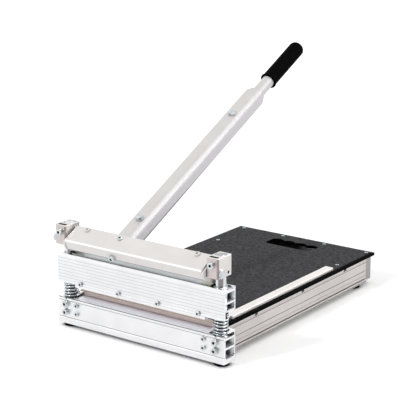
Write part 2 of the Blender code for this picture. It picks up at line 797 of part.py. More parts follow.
def side_rail(tag, side):
    step = RAIL_OUTER - RAIL_STEP
    line = RAIL_LINE_Z - RAIL_LINE
    top = PLATE_HIGH
    outer = [
        (RAIL_INNER, RAIL_LOW),
        (RAIL_OUTER, RAIL_LOW),
        (RAIL_OUTER, RAIL_GROOVE_LOW),
        (RAIL_OUTER - RAIL_GROOVE_DEPTH, RAIL_GROOVE_LOW),
        (RAIL_OUTER - RAIL_GROOVE_DEPTH, RAIL_GROOVE_HIGH),
        (step, RAIL_GROOVE_HIGH),
        (step, line),
        (step - RAIL_LINE, line),
        (step - RAIL_LINE, RAIL_LINE_Z),
        (step, RAIL_LINE_Z),
        (step, RAIL_BAND_LOW - RAIL_BAND_LINE),
        (step - RAIL_BAND_LINE, RAIL_BAND_LOW - RAIL_BAND_LINE),
        (step - RAIL_BAND_LINE, RAIL_BAND_LOW),
        (RAIL_OUTER, RAIL_BAND_LOW),
        (RAIL_OUTER, top),
        (RAIL_INNER, top),
    ]
    low, high = RAIL_LOW + WALL, top - WALL
    chambers = []
    for a, b in ((RAIL_INNER + WALL, RAIL_WEB_INNER), (RAIL_WEB_OUTER, RAIL_OUTER - RAIL_SKIN)):
        for c, d in ((low + WALL, RAIL_FLOOR_LOW), (RAIL_FLOOR_HIGH, high)):
            chambers.append([(a, c), (b, c), (b, d), (a, d)])
    loops = [[(side * u, v) for u, v in loop] for loop in [outer, *chambers]]
    mesh = extruded("side_rail_" + tag, loops, BEAM_DEPTH + GAP, REAR_RAIL_FRONT - GAP, "Y")
    rail = place("side_rail_" + tag, mesh, ROOT, "silver_aluminium")
    face = sorted((side * (RAIL_OUTER - NOTCH_DEPTH), side * (RAIL_OUTER + OVERRUN)))
    for order, back in enumerate(SIDE_SCREWS):
        cut(rail, rod(f"notch_{tag}_{order}", NOTCH_RADIUS, *face, "X", (0.0, back, top - NOTCH_DROP), ROUND_SMALL))
    depth = DECK_SCREW_REACH + GAP
    for order, back in enumerate(side_screws()):
        hole = rod(
            f"rail_top_hole_{tag}_{order}", COUNTERSUNK_SHANK + GAP, DECK_TOP - depth, DECK_TOP,
            "Z", (side * SIDE_SCREW_X, back, 0.0), ROUND_SMALL,
        )
        cut(rail, hole)
    reach = BEAM_DEPTH + RAIL_SCREW_REACH + GAP
    for order, level in enumerate(RAIL_SCREW_Z):
        hole = rod(
            f"rail_end_hole_{tag}_{order}", M6_RADIUS + GAP, BEAM_DEPTH - OVERRUN, reach,
            "Y", (side * SIDE_SCREW_X, 0.0, level), ROUND_SMALL,
        )
        cut(rail, hole)


def side_screws():
    """Each side of the deck has one screw of its own, at the rearmost notch."""
    return SIDE_SCREWS[:1]


def rear_rail():
    top = PLATE_HIGH
    mesh = block(
        "rear_rail",
        (-REAR_RAIL_HALF, REAR_RAIL_FRONT, RAIL_LOW),
        (REAR_RAIL_HALF, REAR_RAIL_BACK, top),
    )
    rail = place("rear_rail", mesh, ROOT, "silver_aluminium", False)
    wall = REAR_RAIL_WALL
    inside = block(
        "rear_rail_inside",
        (-REAR_RAIL_HALF + wall, REAR_RAIL_FRONT + wall, RAIL_LOW - OVERRUN),
        (REAR_RAIL_HALF - wall, REAR_RAIL_BACK - wall, top - WALL),
    )
    bevel(rail, EDGE + EDGE, 2)
    cut(rail, inside)
    for order, place_x in enumerate(rear_screws()):
        hole = rod(
            f"rear_hole_{order}", COUNTERSUNK_SHANK + GAP, DECK_TOP - DECK_SCREW_REACH - GAP, DECK_TOP,
            "Z", (place_x, REAR_SCREW_Y, 0.0), ROUND_SMALL,
        )
        cut(rail, hole)


def rear_screws():
    return (-REAR_SCREW_OUTER, -REAR_SCREW_INNER, REAR_SCREW_INNER, REAR_SCREW_OUTER)


def hand_hole():
    """A straight front edge and a rear edge with four finger waves."""
    outline = [(-HOLE_HALF, HOLE_FRONT + HOLE_WAVE_DEPTH), (-HOLE_HALF + HOLE_WAVE_DEPTH, HOLE_FRONT)]
    outline += [(HOLE_HALF - HOLE_WAVE_DEPTH, HOLE_FRONT), (HOLE_HALF, HOLE_FRONT + HOLE_WAVE_DEPTH)]
    count = HOLE_WAVES * HOLE_WAVE_STEPS
    for i in range(count + 1):
        share = i / count
        wave = abs(math.sin(math.pi * HOLE_WAVES * share))
        outline.append((HOLE_HALF * (1 - 2 * share), HOLE_BACK + HOLE_WAVE_DEPTH * wave))
    return extruded("hand_hole", [outline], PLATE_HIGH - OVERRUN, DECK_TOP + OVERRUN, "Z")


def deck():
    low = PLATE_HIGH + GAP
    mesh = block("deck_board", (-DECK_HALF, DECK_FRONT, low), (DECK_HALF, DECK_BACK, DECK_TOP))
    board = place("deck_board", mesh, ROOT, "black_texture", False)
    bevel(board, EDGE)
    cut(board, hand_hole())
    spots = [(x, REAR_SCREW_Y) for x in rear_screws()]
    for side in (-1, 1):
        spots += [(side * SIDE_SCREW_X, back) for back in side_screws()]
    names = ("rear_left", "rear_mid_left", "rear_mid_right", "rear_right", "side_left", "side_right")
    for name, (x, y) in zip(names, spots):
        at = (x, y, DECK_TOP)
        cut(board, countersink("sink_" + name, at, -DECK_THICK - OVERRUN))
        countersunk_screw("deck_screw_" + name, at, ROOT)
    fence = block(
        "fence_bar",
        (FENCE_INNER, FENCE_FRONT, DECK_TOP + GAP),
        (FENCE_OUTER, FENCE_BACK, DECK_TOP + GAP + FENCE_THICK),
    )
    bevel(place("fence_bar", fence, ROOT, "silver_aluminium", False))


def foot(name, radius, x, y, top):
    """A round rubber foot under a beam or a rail, wider in the middle than at its ends."""
    high = top - GAP
    profile = [
        (0.0, high),
        (radius - EDGE, high),
        (radius, high - EDGE),
        (radius - EDGE, EDGE),
        (radius - EDGE - EDGE, 0.0),
        (0.0, 0.0),
    ]
    place(name, revolved(name, profile, ROUND_MID, "Z", (x, y, 0.0)), ROOT, "black_rubber")


# Upper beam: ribbed face, two chambers, a channel for the press strip and a pocket for the blade
def upper_beam():
    pitch = (RIB_HIGH - RIB_LOW) / RIB_COUNT
    ribs = []
    for i in range(RIB_COUNT):
        base = RIB_HIGH - i * pitch
        ribs += [(0.0, base), (0.0, base - pitch / 2), (RIB_DEPTH, base - pitch / 2), (RIB_DEPTH, base - pitch)]
    rear = BEAM_DEPTH - WALL
    under_channel = CHANNEL_FLOOR - CHANNEL_WALL
    outer = [
        (0.0, UPPER_HIGH),
        *ribs,
        (0.0, RIB_LOW - RIB_DEPTH),
        (0.0, UPPER_LOW),
        (BEAM_DEPTH, UPPER_LOW),
        (BEAM_DEPTH, UPPER_HIGH),
        (BEAM_DEPTH - LIP / 2, UPPER_HIGH),
        (BEAM_DEPTH - LIP / 2, CHANNEL_FLOOR),
        (LIP, CHANNEL_FLOOR),
        (LIP, UPPER_HIGH),
    ]
    chambers = [
        [(WALL, UPPER_CAVITY_LOW), (rear, UPPER_CAVITY_LOW), (rear, UPPER_WEB_LOW), (WALL, UPPER_WEB_LOW)],
        [(WALL, UPPER_WEB_HIGH), (rear, UPPER_WEB_HIGH), (rear, under_channel), (WALL, under_channel)],
    ]
    mesh = lowered(extruded("upper_beam", [outer, *chambers], -BEAM_HALF, BEAM_HALF, "X"))
    beam = place("upper_beam", mesh, CARRIAGE, "silver_aluminium")
    half = BLADE_HALF + GAP
    pocket = block(
        "holder_pocket",
        (-half, LIP, UPPER_LOW - OVERRUN),
        (half, BEAM_DEPTH + OVERRUN, HOLDER_POCKET_HIGH),
    )
    cut(beam, lowered(pocket))
    slot = block(
        "blade_slot",
        (-half, BLADE_FRONT - GAP, HOLDER_LOW),
        (half, BLADE_REAR + GAP, BLADE_HIGH + GAP),
    )
    cut(beam, lowered(slot))
    for side in (-1, 1):
        tag = "left" if side < 0 else "right"
        at = (side * POST_X, POST_Y, 0.0)
        low, high = UPPER_LOW - OVERRUN, UPPER_HIGH + OVERRUN
        cut(beam, lowered(rod("bush_hole_" + tag, BUSH_RADIUS + GAP, low, high, "Z", at, ROUND_FINE)))
        end_section(beam, tag, side)
    for name, x in blade_screws():
        at = (x, 0.0, BLADE_SCREW_Z)
        hole = rod("hole_" + name, M6_RADIUS + GAP, -OVERRUN, LIP + OVERRUN, "Y", at, ROUND_SMALL)
        cut(beam, lowered(hole))


def end_section(beam, tag, side):
    """The screw port and the slanted corner that show at one end of the upper beam."""
    port_ends = sorted((side * (BEAM_HALF - PORT_DEPTH), side * (BEAM_HALF + OVERRUN)))
    port = block("port_" + tag, (port_ends[0], WALL, PORT_LOW), (port_ends[1], PORT_BACK, PORT_HIGH))
    cut(beam, lowered(port))
    ring_ends = sorted((side * (BEAM_HALF - PORT_DEPTH - EDGE), side * BEAM_HALF))
    at = (0.0, PORT_RING_Y, PORT_RING_Z)
    join(beam, lowered(rod("port_ring_" + tag, PORT_RING, *ring_ends, "X", at, ROUND_SMALL)))
    cut(beam, lowered(rod("port_bore_" + tag, PORT_RING_BORE, *port_ends, "X", at, ROUND_SMALL)))
    corner = [
        (CORNER_FRONT, UPPER_LOW - OVERRUN),
        (BEAM_DEPTH + OVERRUN, UPPER_LOW - OVERRUN),
        (BEAM_DEPTH + OVERRUN, CORNER_HIGH),
        (CORNER_TURN, CORNER_HIGH),
        (CORNER_FRONT, UPPER_LOW + EDGE),
    ]
    corner_ends = sorted((side * CORNER_START, side * (BEAM_HALF + OVERRUN)))
    cut(beam, lowered(extruded("corner_" + tag, [corner], *corner_ends, "X")))


def blade_screws():
    spots = (-BLADE_SCREW_OUTER, -BLADE_SCREW_INNER, BLADE_SCREW_INNER, BLADE_SCREW_OUTER)
    return [(f"blade_screw_{i + 1}", x) for i, x in enumerate(spots)]


def carriage_pieces():
    strip = block(
        "press_strip",
        (-PRESS_HALF, PRESS_FRONT, PRESS_LOW),
        (PRESS_HALF, PRESS_REAR, PRESS_HIGH),
    )
    strip = place("press_strip", lowered(strip), CARRIAGE, "ground_steel", False)
    bevel(strip)
    for side in (-1, 1):
        tag = "left" if side < 0 else "right"
        at = (side * POST_X, POST_Y, 0.0)
        clear = rod("strip_relief_" + tag, BUSH_RADIUS + GAP, UPPER_HIGH - OVERRUN, PIVOT_Z, "Z", at, ROUND_FINE)
        cut(strip, lowered(clear))
        bore = POST_RADIUS + GAP
        profile = [
            (bore, UPPER_HIGH + BUSH_PROUD),
            (BUSH_RADIUS - EDGE, UPPER_HIGH + BUSH_PROUD),
            (BUSH_RADIUS, UPPER_HIGH + BUSH_PROUD - EDGE),
            (BUSH_RADIUS, UPPER_LOW - GAP),
            (BUSH_FLANGE_RADIUS, UPPER_LOW - GAP),
            (BUSH_FLANGE_RADIUS, BUSH_SEAT),
            (bore, BUSH_SEAT),
        ]
        mesh = lowered(revolved("guide_bush_" + tag, profile, ROUND_FINE, "Z", at))
        place("guide_bush_" + tag, mesh, CARRIAGE, "bright_zinc")
    edge = [
        (BLADE_REAR, BLADE_HIGH),
        (BLADE_FRONT, BLADE_HIGH),
        (BLADE_FRONT, BLADE_EDGE + BLADE_BEVEL),
        (BLADE_REAR - BLADE_FLAT, BLADE_EDGE),
        (BLADE_REAR, BLADE_EDGE),
    ]
    mesh = lowered(extruded("blade", [edge], -BLADE_HALF, BLADE_HALF, "X"))
    place("blade", mesh, CARRIAGE, "ground_steel", False)
    tongue = HOLDER_POCKET_HIGH - GAP
    shape = [
        (0.0, HOLDER_LOW + EDGE),
        (EDGE, HOLDER_LOW),
        (HOLDER_REAR, HOLDER_LOW),
        (HOLDER_REAR, tongue),
        (LIP + GAP, tongue),
        (LIP + GAP, UPPER_LOW - GAP),
        (0.0, UPPER_LOW - GAP),
    ]
    mesh = lowered(extruded("blade_holder", [shape], -HOLDER_HALF, HOLDER_HALF, "X"))
    holder = place("blade_holder", mesh, CARRIAGE, "silver_aluminium", False)
    for name, x in blade_screws():
        at = (x, 0.0, BLADE_SCREW_Z)
        hole = rod("tap_" + name, M6_RADIUS + GAP, -OVERRUN, BLADE_SCREW_REACH + GAP, "Y", at, ROUND_SMALL)
        cut(holder, lowered(hole))
        socket_screw(
            name, M6_HEAD_RADIUS, M6_HEAD, M6_RADIUS, BLADE_SCREW_REACH,
            "Y", Vector(at) + CARRIAGE_LIFT, CARRIAGE, -1, ROUND_SMALL,
        )


def spring(tag, side):
    """A return spring round its post: closed ends, an open middle, the ends straight up for one wire."""
    low = SPRING_LOW + WIRE_RADIUS
    high = SPRING_HIGH - WIRE_RADIUS
    count = SPRING_CURLS * POINTS_PER_CURL
    close_shares = [0.0]
    for i in range(count):
        turn = (i + 1) / POINTS_PER_CURL
        ends = min(turn, SPRING_CURLS - turn + 1 / POINTS_PER_CURL)
        close_shares.append(close_shares[-1] + (CLOSED_CURL_SHARE if ends <= 1 else 1.0))
    rise = (high - low) / close_shares[-1]
    centre = Vector((side * POST_X, POST_Y, 0.0))
    points = []
    for i, share in enumerate(close_shares):
        angle = 2 * math.pi * i / POINTS_PER_CURL
        ring = Vector((math.cos(angle), side * math.sin(angle), 0.0)) * SPRING_RADIUS
        points.append(centre + ring + Vector((0.0, 0.0, low + share * rise)))
    gap = min(
        (a - b).length - WIRE_RADIUS - WIRE_RADIUS
        for i, a in enumerate(points)
        for b in points[i + POINTS_PER_CURL // 2:]
    )
    print(f"spring_{tag}: least gap between curls {gap:.5f} m, wanted over {LEAST_COIL_GAP}")
    curve = bpy.data.curves.new("return_spring_" + tag, "CURVE")
    curve.dimensions = "3D"
    curve.bevel_depth = WIRE_RADIUS
    curve.bevel_resolution = 1
    curve.use_fill_caps = True
    spline = curve.splines.new("POLY")
    spline.points.add(len(points) - 1)
    for point, spot in zip(spline.points, points):
        point.co = (*spot, 1.0)
    mesh = evaluated_mesh(bpy.data.objects.new(curve.name, curve), curve.name)
    bpy.data.curves.remove(curve)
    place("return_spring_" + tag, mesh, ROOT, "bright_zinc")


# Lever: an angle beam between two cams, with the handle under its top flange
def lever_beam():
    front_in = RIDGE_S + LEVER_WALL
    under = FLANGE_TOP - LEVER_WALL
    ridge = []
    for i in range(RIDGE_STEPS + 1):
        angle = math.pi / 2 + math.pi / 2 * i / RIDGE_STEPS
        ridge.append((
            RIDGE_S + RIDGE_RADIUS + RIDGE_RADIUS * math.cos(angle),
            FLANGE_TOP - RIDGE_RADIUS + RIDGE_RADIUS * math.sin(angle),
        ))
    low = FLANGE_TOP - FRONT_FLANGE
    outline = [
        (RIDGE_S + TOP_FLANGE, under),
        (RIDGE_S + TOP_FLANGE, FLANGE_TOP - EDGE),
        (RIDGE_S + TOP_FLANGE - EDGE, FLANGE_TOP),
        *ridge,
        (RIDGE_S, low + EDGE),
        (RIDGE_S + EDGE, low),
        (front_in, low),
        (front_in, under),
    ]
    mesh = extruded("lever_beam", [outline], -LEVER_HALF, LEVER_HALF, "X")
    beam = place("lever_beam", mesh, LEVER, "white_lacquer")
    spots = [(side * CAM_SCREW_X, CAM_SCREW_S) for side in (-1, 1)] + [(TUBE_X, ARM_SCREW_S)]
    for order, (x, s) in enumerate(spots):
        cut(beam, rod(f"flange_hole_{order}", M6_RADIUS + GAP, under - OVERRUN, FLANGE_TOP + OVERRUN,
                      "Z", (x, s, 0.0), ROUND_SMALL))
    cut(beam, rod("tube_bolt_hole", M8_RADIUS + GAP, RIDGE_S - OVERRUN, front_in + OVERRUN,
                  "Y", (TUBE_X, 0.0, TUBE_BOLT_D), ROUND_SMALL))


def cam_outline():
    """A flat follower falls by the same amount for each radian: height below the axis = reach - ratio x turn."""
    points = []
    for i in range(CAM_STEPS + 1):
        turn = CAM_LIFT_TURN - (CAM_LIFT_TURN + CAM_PRESS_TURN) * i / CAM_STEPS
        touch = (CAM_RATIO, -(CAM_REACH - CAM_RATIO * turn))
        points.append(turned(touch, -turn - TILT))
    for i in range(ROUND_MID):
        angle = 2 * math.pi * i / ROUND_MID
        points.append((HUB_RADIUS * math.cos(angle), HUB_RADIUS * math.sin(angle)))
    return hull(points)


def cam(tag, side):
    top = FLANGE_TOP - LEVER_WALL - GAP
    ends = sorted((side * CAM_INNER, side * CAM_OUTER))
    mesh = extruded("cam_" + tag, [cam_outline()], *ends, "X")
    made = place("cam_" + tag, mesh, LEVER, "white_lacquer")
    above = block(
        "cam_top_" + tag,
        (ends[0] - OVERRUN, -HUB_RADIUS - OVERRUN, top),
        (ends[1] + OVERRUN, TOP_FLANGE, HUB_RADIUS + OVERRUN),
    )
    cut(made, above)
    foot_ends = sorted((side * FOOT_INNER, side * (CAM_INNER + FOOT_COVER_SHARE * CAM_THICK)))
    foot_block = block(
        "cam_foot_" + tag,
        (foot_ends[0], FOOT_START, top - FOOT_THICK),
        (foot_ends[1], FOOT_END, top),
    )
    join(made, foot_block)
    cut(made, rod("cam_hole_" + tag, PIVOT_RADIUS + GAP, ends[0] - OVERRUN, ends[1] + OVERRUN,
                  "X", (0.0, 0.0, 0.0), ROUND_MID))
    at = (side * CAM_SCREW_X, CAM_SCREW_S, 0.0)
    cut(made, rod("cam_tap_" + tag, M6_RADIUS + GAP, top - FOOT_THICK - OVERRUN, top + OVERRUN,
                  "Z", at, ROUND_SMALL))
    socket_screw(
        "cam_screw_" + tag, M6_HEAD_RADIUS + EDGE, M6_HEAD - EDGE, M6_RADIUS, LEVER_WALL + GAP + FOOT_THICK,
        "Z", (side * CAM_SCREW_X, CAM_SCREW_S, FLANGE_TOP), LEVER, 1, ROUND_SMALL,
    )


def handle_arm():
    """An unequal angle with a wide rounded corner that holds the tube."""
    inner = TUBE_RADIUS + GAP
    outer = inner + ARM_WALL
    corner = [math.pi / 2 * i / ARM_CORNER_STEPS for i in range(ARM_CORNER_STEPS + 1)]
    low = ARM_TOP - ARM_DROP
    arc_out = [(TUBE_X + outer * math.cos(a), TUBE_D + outer * math.sin(a)) for a in corner]
    arc_in = [(TUBE_X + inner * math.cos(a), TUBE_D + inner * math.sin(a)) for a in reversed(corner)]
    outline = [
        (ARM_RIGHT, low),
        *arc_out,
        (ARM_LEFT, ARM_TOP),
        (ARM_LEFT, ARM_TOP - ARM_WALL),
        *arc_in,
        (ARM_RIGHT - ARM_WALL, low),
    ]
    mesh = extruded("handle_arm", [outline], ARM_START, ARM_END, "Y")
    arm = place("handle_arm", mesh, LEVER, "white_lacquer")
    under = block(
        "arm_nose",
        (ARM_LEFT - OVERRUN, ARM_START - OVERRUN, low - OVERRUN),
        (ARM_RIGHT + OVERRUN, TUBE_START, ARM_TOP - ARM_WALL),
    )
    cut(arm, under)
    wide = ARM_CHAMFER
    corner_left = [
        (ARM_LEFT - OVERRUN, ARM_END - wide - OVERRUN),
        (ARM_LEFT + wide + OVERRUN, ARM_END + OVERRUN),
        (ARM_LEFT - OVERRUN, ARM_END + OVERRUN),
    ]
    cut(arm, extruded("arm_corner_left", [corner_left], low - OVERRUN, ARM_TOP + OVERRUN, "Z"))
    corner_low = [
        (ARM_END - wide - OVERRUN, low - OVERRUN),
        (ARM_END + OVERRUN, low - OVERRUN),
        (ARM_END + OVERRUN, low + wide + OVERRUN),
    ]
    cut(arm, extruded("arm_corner_low", [corner_low], TUBE_X, ARM_RIGHT + OVERRUN, "X"))
    for order, s in enumerate((ARM_BOLT_LOW, ARM_BOLT_HIGH)):
        cut(arm, rod(f"arm_bolt_hole_{order}", M8_RADIUS + GAP, TUBE_D, ARM_TOP + OVERRUN,
                     "Z", (TUBE_X, s, 0.0), ROUND_SMALL))
    cut(arm, rod("arm_screw_hole", M6_RADIUS + GAP, TUBE_D, ARM_TOP + OVERRUN,
                 "Z", (TUBE_X, ARM_SCREW_S, 0.0), ROUND_SMALL))


def handle_tube():
    inner = TUBE_RADIUS - TUBE_WALL
    nose = RIDGE_S + LEVER_WALL + GAP
    profile = [
        (0.0, TUBE_START + PLUG_DEPTH),
        (inner, TUBE_START + PLUG_DEPTH),
        (inner, TUBE_END),
        (TUBE_RADIUS, TUBE_END),
        (TUBE_RADIUS, TUBE_START),
        (PLUG_RADIUS, TUBE_START),
        (PLUG_RADIUS, nose),
        (0.0, nose),
    ]
    mesh = revolved("handle_tube", profile, ROUND_FINE)
    mesh.transform(Matrix.Translation((TUBE_X, 0.0, TUBE_D)) @ Matrix.Rotation(-math.pi / 2, 4, "X"))
    tube = place("handle_tube", mesh, LEVER, "white_lacquer")
    for order, s in enumerate((ARM_BOLT_LOW, ARM_BOLT_HIGH)):
        cut(tube, rod(f"tube_bolt_hole_{order}", M8_RADIUS + GAP, TUBE_D - TUBE_RADIUS - OVERRUN,
                      ARM_TOP + OVERRUN, "Z", (TUBE_X, s, 0.0), ROUND_SMALL))
    cut(tube, rod("tube_tap", M8_RADIUS + GAP, nose - OVERRUN, nose + TUBE_BOLT_REACH,
                  "Y", (TUBE_X, 0.0, TUBE_BOLT_D), ROUND_SMALL))
    cut(tube, rod("screw_relief", M6_RADIUS + GAP, TUBE_D, ARM_TOP,
                  "Z", (TUBE_X, ARM_SCREW_S, 0.0), ROUND_SMALL))
    socket_screw(
        "tube_bolt", M8_HEAD_RADIUS, M8_HEAD, M8_RADIUS, LEVER_WALL + TUBE_BOLT_REACH,
        "Y", (TUBE_X, RIDGE_S, TUBE_BOLT_D), LEVER, -1,
    )
    socket_screw(
        "arm_screw", M6_HEAD_RADIUS + EDGE, M6_HEAD - EDGE, M6_RADIUS, LEVER_WALL + GAP + ARM_WALL,
        "Z", (TUBE_X, ARM_SCREW_S, FLANGE_TOP), LEVER, 1, ROUND_SMALL,
    )


def arm_bolt(name, s):
    """A hexagon head bolt with its washer, through the arm and the tube."""
    reach = ARM_TOP - TUBE_D + TUBE_RADIUS - TUBE_WALL
    profile = [
        (0.0, GAP + WASHER_FACE + BOLT_HEAD),
        (HEX_RADIUS * math.cos(math.pi / 6), GAP + WASHER_FACE + BOLT_HEAD),
        (HEX_RADIUS, GAP + WASHER_FACE + BOLT_HEAD - EDGE),
        (HEX_RADIUS, GAP + WASHER_FACE),
        (WASHER_FACE_RADIUS, GAP + WASHER_FACE),
        (WASHER_FACE_RADIUS, GAP),
        (M8_RADIUS, GAP),
        (M8_RADIUS, -reach),
        (0.0, -reach),
    ]
    mesh = revolved(name, profile, ROUND_MID, "Z", (TUBE_X, s, ARM_TOP))
    bolt = place(name, mesh, LEVER, "bright_zinc")
    flats = extruded(
        name + "_flats",
        [hex_outline(HEX_RADIUS + OVERRUN + OVERRUN, ROUND_SMALL), hex_outline(HEX_RADIUS)],
        ARM_TOP + GAP + WASHER_FACE,
        ARM_TOP + GAP + WASHER_FACE + BOLT_HEAD + OVERRUN,
        "Z",
    )
    flats.transform(Matrix.Translation((TUBE_X, s, 0.0)))
    cut(bolt, flats)


def handle_grip():
    bore = TUBE_RADIUS + GAP
    tip = []
    for i in range(TIP_STEPS + 1):
        angle = math.pi / 2 * i / TIP_STEPS
        tip.append((
            GRIP_RADIUS - GRIP_TIP + GRIP_TIP * math.cos(angle),
            GRIP_END - GRIP_TIP + GRIP_TIP * math.sin(angle),
        ))
    floor = TUBE_END + GAP
    profile = [
        (0.0, floor),
        (bore, floor),
        (bore, GRIP_START),
        (GRIP_FLANGE_RADIUS - EDGE, GRIP_START),
        (GRIP_FLANGE_RADIUS, GRIP_START + EDGE),
        (GRIP_FLANGE_RADIUS, GRIP_START + GRIP_FLANGE - EDGE),
        (GRIP_FLANGE_RADIUS - EDGE, GRIP_START + GRIP_FLANGE),
        (GRIP_RADIUS, GRIP_START + GRIP_FLANGE + EDGE),
        *tip,
        (0.0, GRIP_END),
    ]
    mesh = revolved("handle_grip", profile[::-1], ROUND_FINE)
    mesh.transform(Matrix.Translation((TUBE_X, 0.0, TUBE_D)) @ Matrix.Rotation(-math.pi / 2, 4, "X"))
    place("handle_grip", mesh, LEVER, "black_rubber")


def centre_on_footprint():
    """Moves the root so that the middle of the whole object's footprint is the origin."""
    bpy.context.view_layer.update()
    graph = bpy.context.evaluated_depsgraph_get()
    spots = []
    for item in PARTS.objects:
        if item.type != "MESH":
            continue
        seen = item.evaluated_get(graph)
        spots += [seen.matrix_world @ Vector(corner) for corner in seen.bound_box]
        mesh = seen.to_mesh()
        spots = spots[:-8] + [seen.matrix_world @ v.co for v in mesh.vertices]
        seen.to_mesh_clear()
    low = Vector(min(p[i] for p in spots) for i in range(3))
    high = Vector(max(p[i] for p in spots) for i in range(3))
    ROOT.location = (-(low.x + high.x) / 2, -(low.y + high.y) / 2, -low.z)
    bpy.context.view_layer.update()
    print("root moved by", [round(v, 6) for v in ROOT.location], "size", [round(v, 5) for v in high - low])


lower_beam()
anvil()
for tag, side in (("left", -1), ("right", 1)):
    post(tag, side)
    post_block(tag, side)
    side_rail(tag, side)
    spring(tag, side)
    foot("foot_front_" + tag, FRONT_FOOT_RADIUS, side * FOOT_X, FRONT_FOOT_Y, LOWER_LOW)
    foot("foot_rear_" + tag, REAR_FOOT_RADIUS, side * REAR_FOOT_X, REAR_FOOT_Y, RAIL_LOW)
    cam(tag, side)
pivots()
beam_screws()
rear_rail()
deck()
upper_beam()
carriage_pieces()
lever_beam()
handle_arm()
handle_tube()
arm_bolt("arm_bolt_lower", ARM_BOLT_LOW)
arm_bolt("arm_bolt_upper", ARM_BOLT_HIGH)
handle_grip()
centre_on_footprint()
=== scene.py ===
# %% [markdown]
# A laminate cutter is a bench shear for floor planks. A lever with two cams presses a blade
# carriage down two steel posts, and two springs lift it again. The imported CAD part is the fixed
# frame here: its pieces keep their shape and place, and this lesson gives them their finishes, two
# finely wound springs, a fluted grip, soft light and the camera.

# %% Load the frame
import math

import bpy
from mathutils import Matrix, Vector


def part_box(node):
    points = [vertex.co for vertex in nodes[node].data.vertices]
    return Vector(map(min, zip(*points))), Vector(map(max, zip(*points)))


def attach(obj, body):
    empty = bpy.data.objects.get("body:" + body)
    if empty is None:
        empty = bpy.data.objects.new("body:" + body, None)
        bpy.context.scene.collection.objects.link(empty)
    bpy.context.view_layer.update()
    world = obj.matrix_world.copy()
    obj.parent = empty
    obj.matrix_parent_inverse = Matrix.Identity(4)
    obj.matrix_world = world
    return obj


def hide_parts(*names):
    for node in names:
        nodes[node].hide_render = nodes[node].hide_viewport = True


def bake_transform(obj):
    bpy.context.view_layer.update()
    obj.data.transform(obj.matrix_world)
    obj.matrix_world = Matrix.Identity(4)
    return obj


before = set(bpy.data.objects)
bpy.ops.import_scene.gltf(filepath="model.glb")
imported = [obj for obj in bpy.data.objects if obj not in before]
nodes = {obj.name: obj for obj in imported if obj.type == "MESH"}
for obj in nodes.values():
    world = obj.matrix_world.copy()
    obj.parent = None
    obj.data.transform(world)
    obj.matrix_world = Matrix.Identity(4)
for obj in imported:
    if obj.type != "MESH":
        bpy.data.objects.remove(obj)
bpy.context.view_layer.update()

MM = 0.001

# %% [markdown]
# Every finish below is a node tree. Colours are written as the eye sees them, in sRGB hex, while
# the shader adds light in linear values, so one function turns the first into the second. Nodes
# could be placed and linked one by one, but a recipe gets lost in so many lines. One more function
# adds a node with its settings and its links in a single call.

# %% Helpers for colours and nodes
def linear(text):
    """The linear colour of an sRGB hex text."""
    shares = [int(text[i:i + 2], 16) / 255 for i in (0, 2, 4)]
    light = [c / 12.92 if c <= 0.04045 else ((c + 0.055) / 1.055) ** 2.4 for c in shares]
    return (*light, 1.0)


def add(tree, kind, settings=None, **inputs):
    """Adds a node. Keys of inputs are socket names, or _ and a number. A value may be an output."""
    made = tree.nodes.new(kind)
    for key, value in (settings or {}).items():
        setattr(made, key, value)
    for key, value in inputs.items():
        socket = made.inputs[int(key[1:]) if key[0] == "_" else key.replace("_", " ")]
        if isinstance(value, bpy.types.NodeSocket):
            tree.links.new(value, socket)
        else:
            socket.default_value = value
    return made


def new_material(name):
    """An empty material, its tree and its shader."""
    made = bpy.data.materials.new(name)
    made.use_nodes = True
    return made, made.node_tree, made.node_tree.nodes["Principled BSDF"]


print("hex D8D8DA is", [round(c, 3) for c in linear("D8D8DA")[:3]])

# %% [markdown]
# A real surface never has one flat colour. Noise picks its tone between a darker and a lighter
# value, in grains of a size in millimetres. The noise reads the object's own coordinates, so it
# needs no unwrapping and moves with its piece. A small factor along an axis draws the grains out
# to lines along it.

# %% Helpers for patterns and tones
def speckle(tree, grain, detail=3.0, stretch=(1.0, 1.0, 1.0)):
    """Noise with grains of a size in metres, drawn out along an axis that has a small factor."""
    place = add(tree, "ShaderNodeTexCoord").outputs["Object"]
    drawn = add(tree, "ShaderNodeMapping", None, Vector=place, Scale=stretch).outputs["Vector"]
    return add(tree, "ShaderNodeTexNoise", None, Vector=drawn, Scale=1 / grain,
               Detail=detail).outputs["Fac"]


def toned(tree, noise, dark, light):
    """A colour that follows a noise from dark to light."""
    ramp = add(tree, "ShaderNodeValToRGB", None, Fac=noise)
    for stop, place, tone in zip(ramp.color_ramp.elements, (0.3, 0.7), (dark, light)):
        stop.position, stop.color = place, linear(tone)
    return ramp.outputs["Color"]


print("noise and tone helpers ready")

# %% [markdown]
# Marks, wear and dirt lie over the base tone in the order in which they came, and painted shade and
# painted highlights lie over them as coats too. The recipes keep that order: a coat is a mask and a
# tint, mixed over what lies below it, so each coat can be tuned alone. Every finish then ends the
# same way, with its colour, its roughness and a fine relief joined to the shader.

# %% Helpers for coats and for the finished surface
def coated(tree, color, coats):
    """The colour under coats of (mask, hex text), the last one on top."""
    for mask, tint in coats:
        mix = add(tree, "ShaderNodeMix", {"data_type": "RGBA"}, _0=mask, _6=color, _7=linear(tint))
        color = mix.outputs[2]
    return color


def surfaced(tree, shader, color, rough, rounded, height, strength, depth, sunk=False):
    """Joins colour, roughness and a relief on the rounded normal to the shader."""
    relief = add(tree, "ShaderNodeBump", {"invert": sunk}, Strength=strength, Distance=depth,
                 Height=height, Normal=rounded)
    tree.links.new(color, shader.inputs["Base Color"])
    tree.links.new(rough, shader.inputs["Roughness"])
    tree.links.new(relief.outputs["Normal"], shader.inputs["Normal"])


print("coat and surface helpers ready")
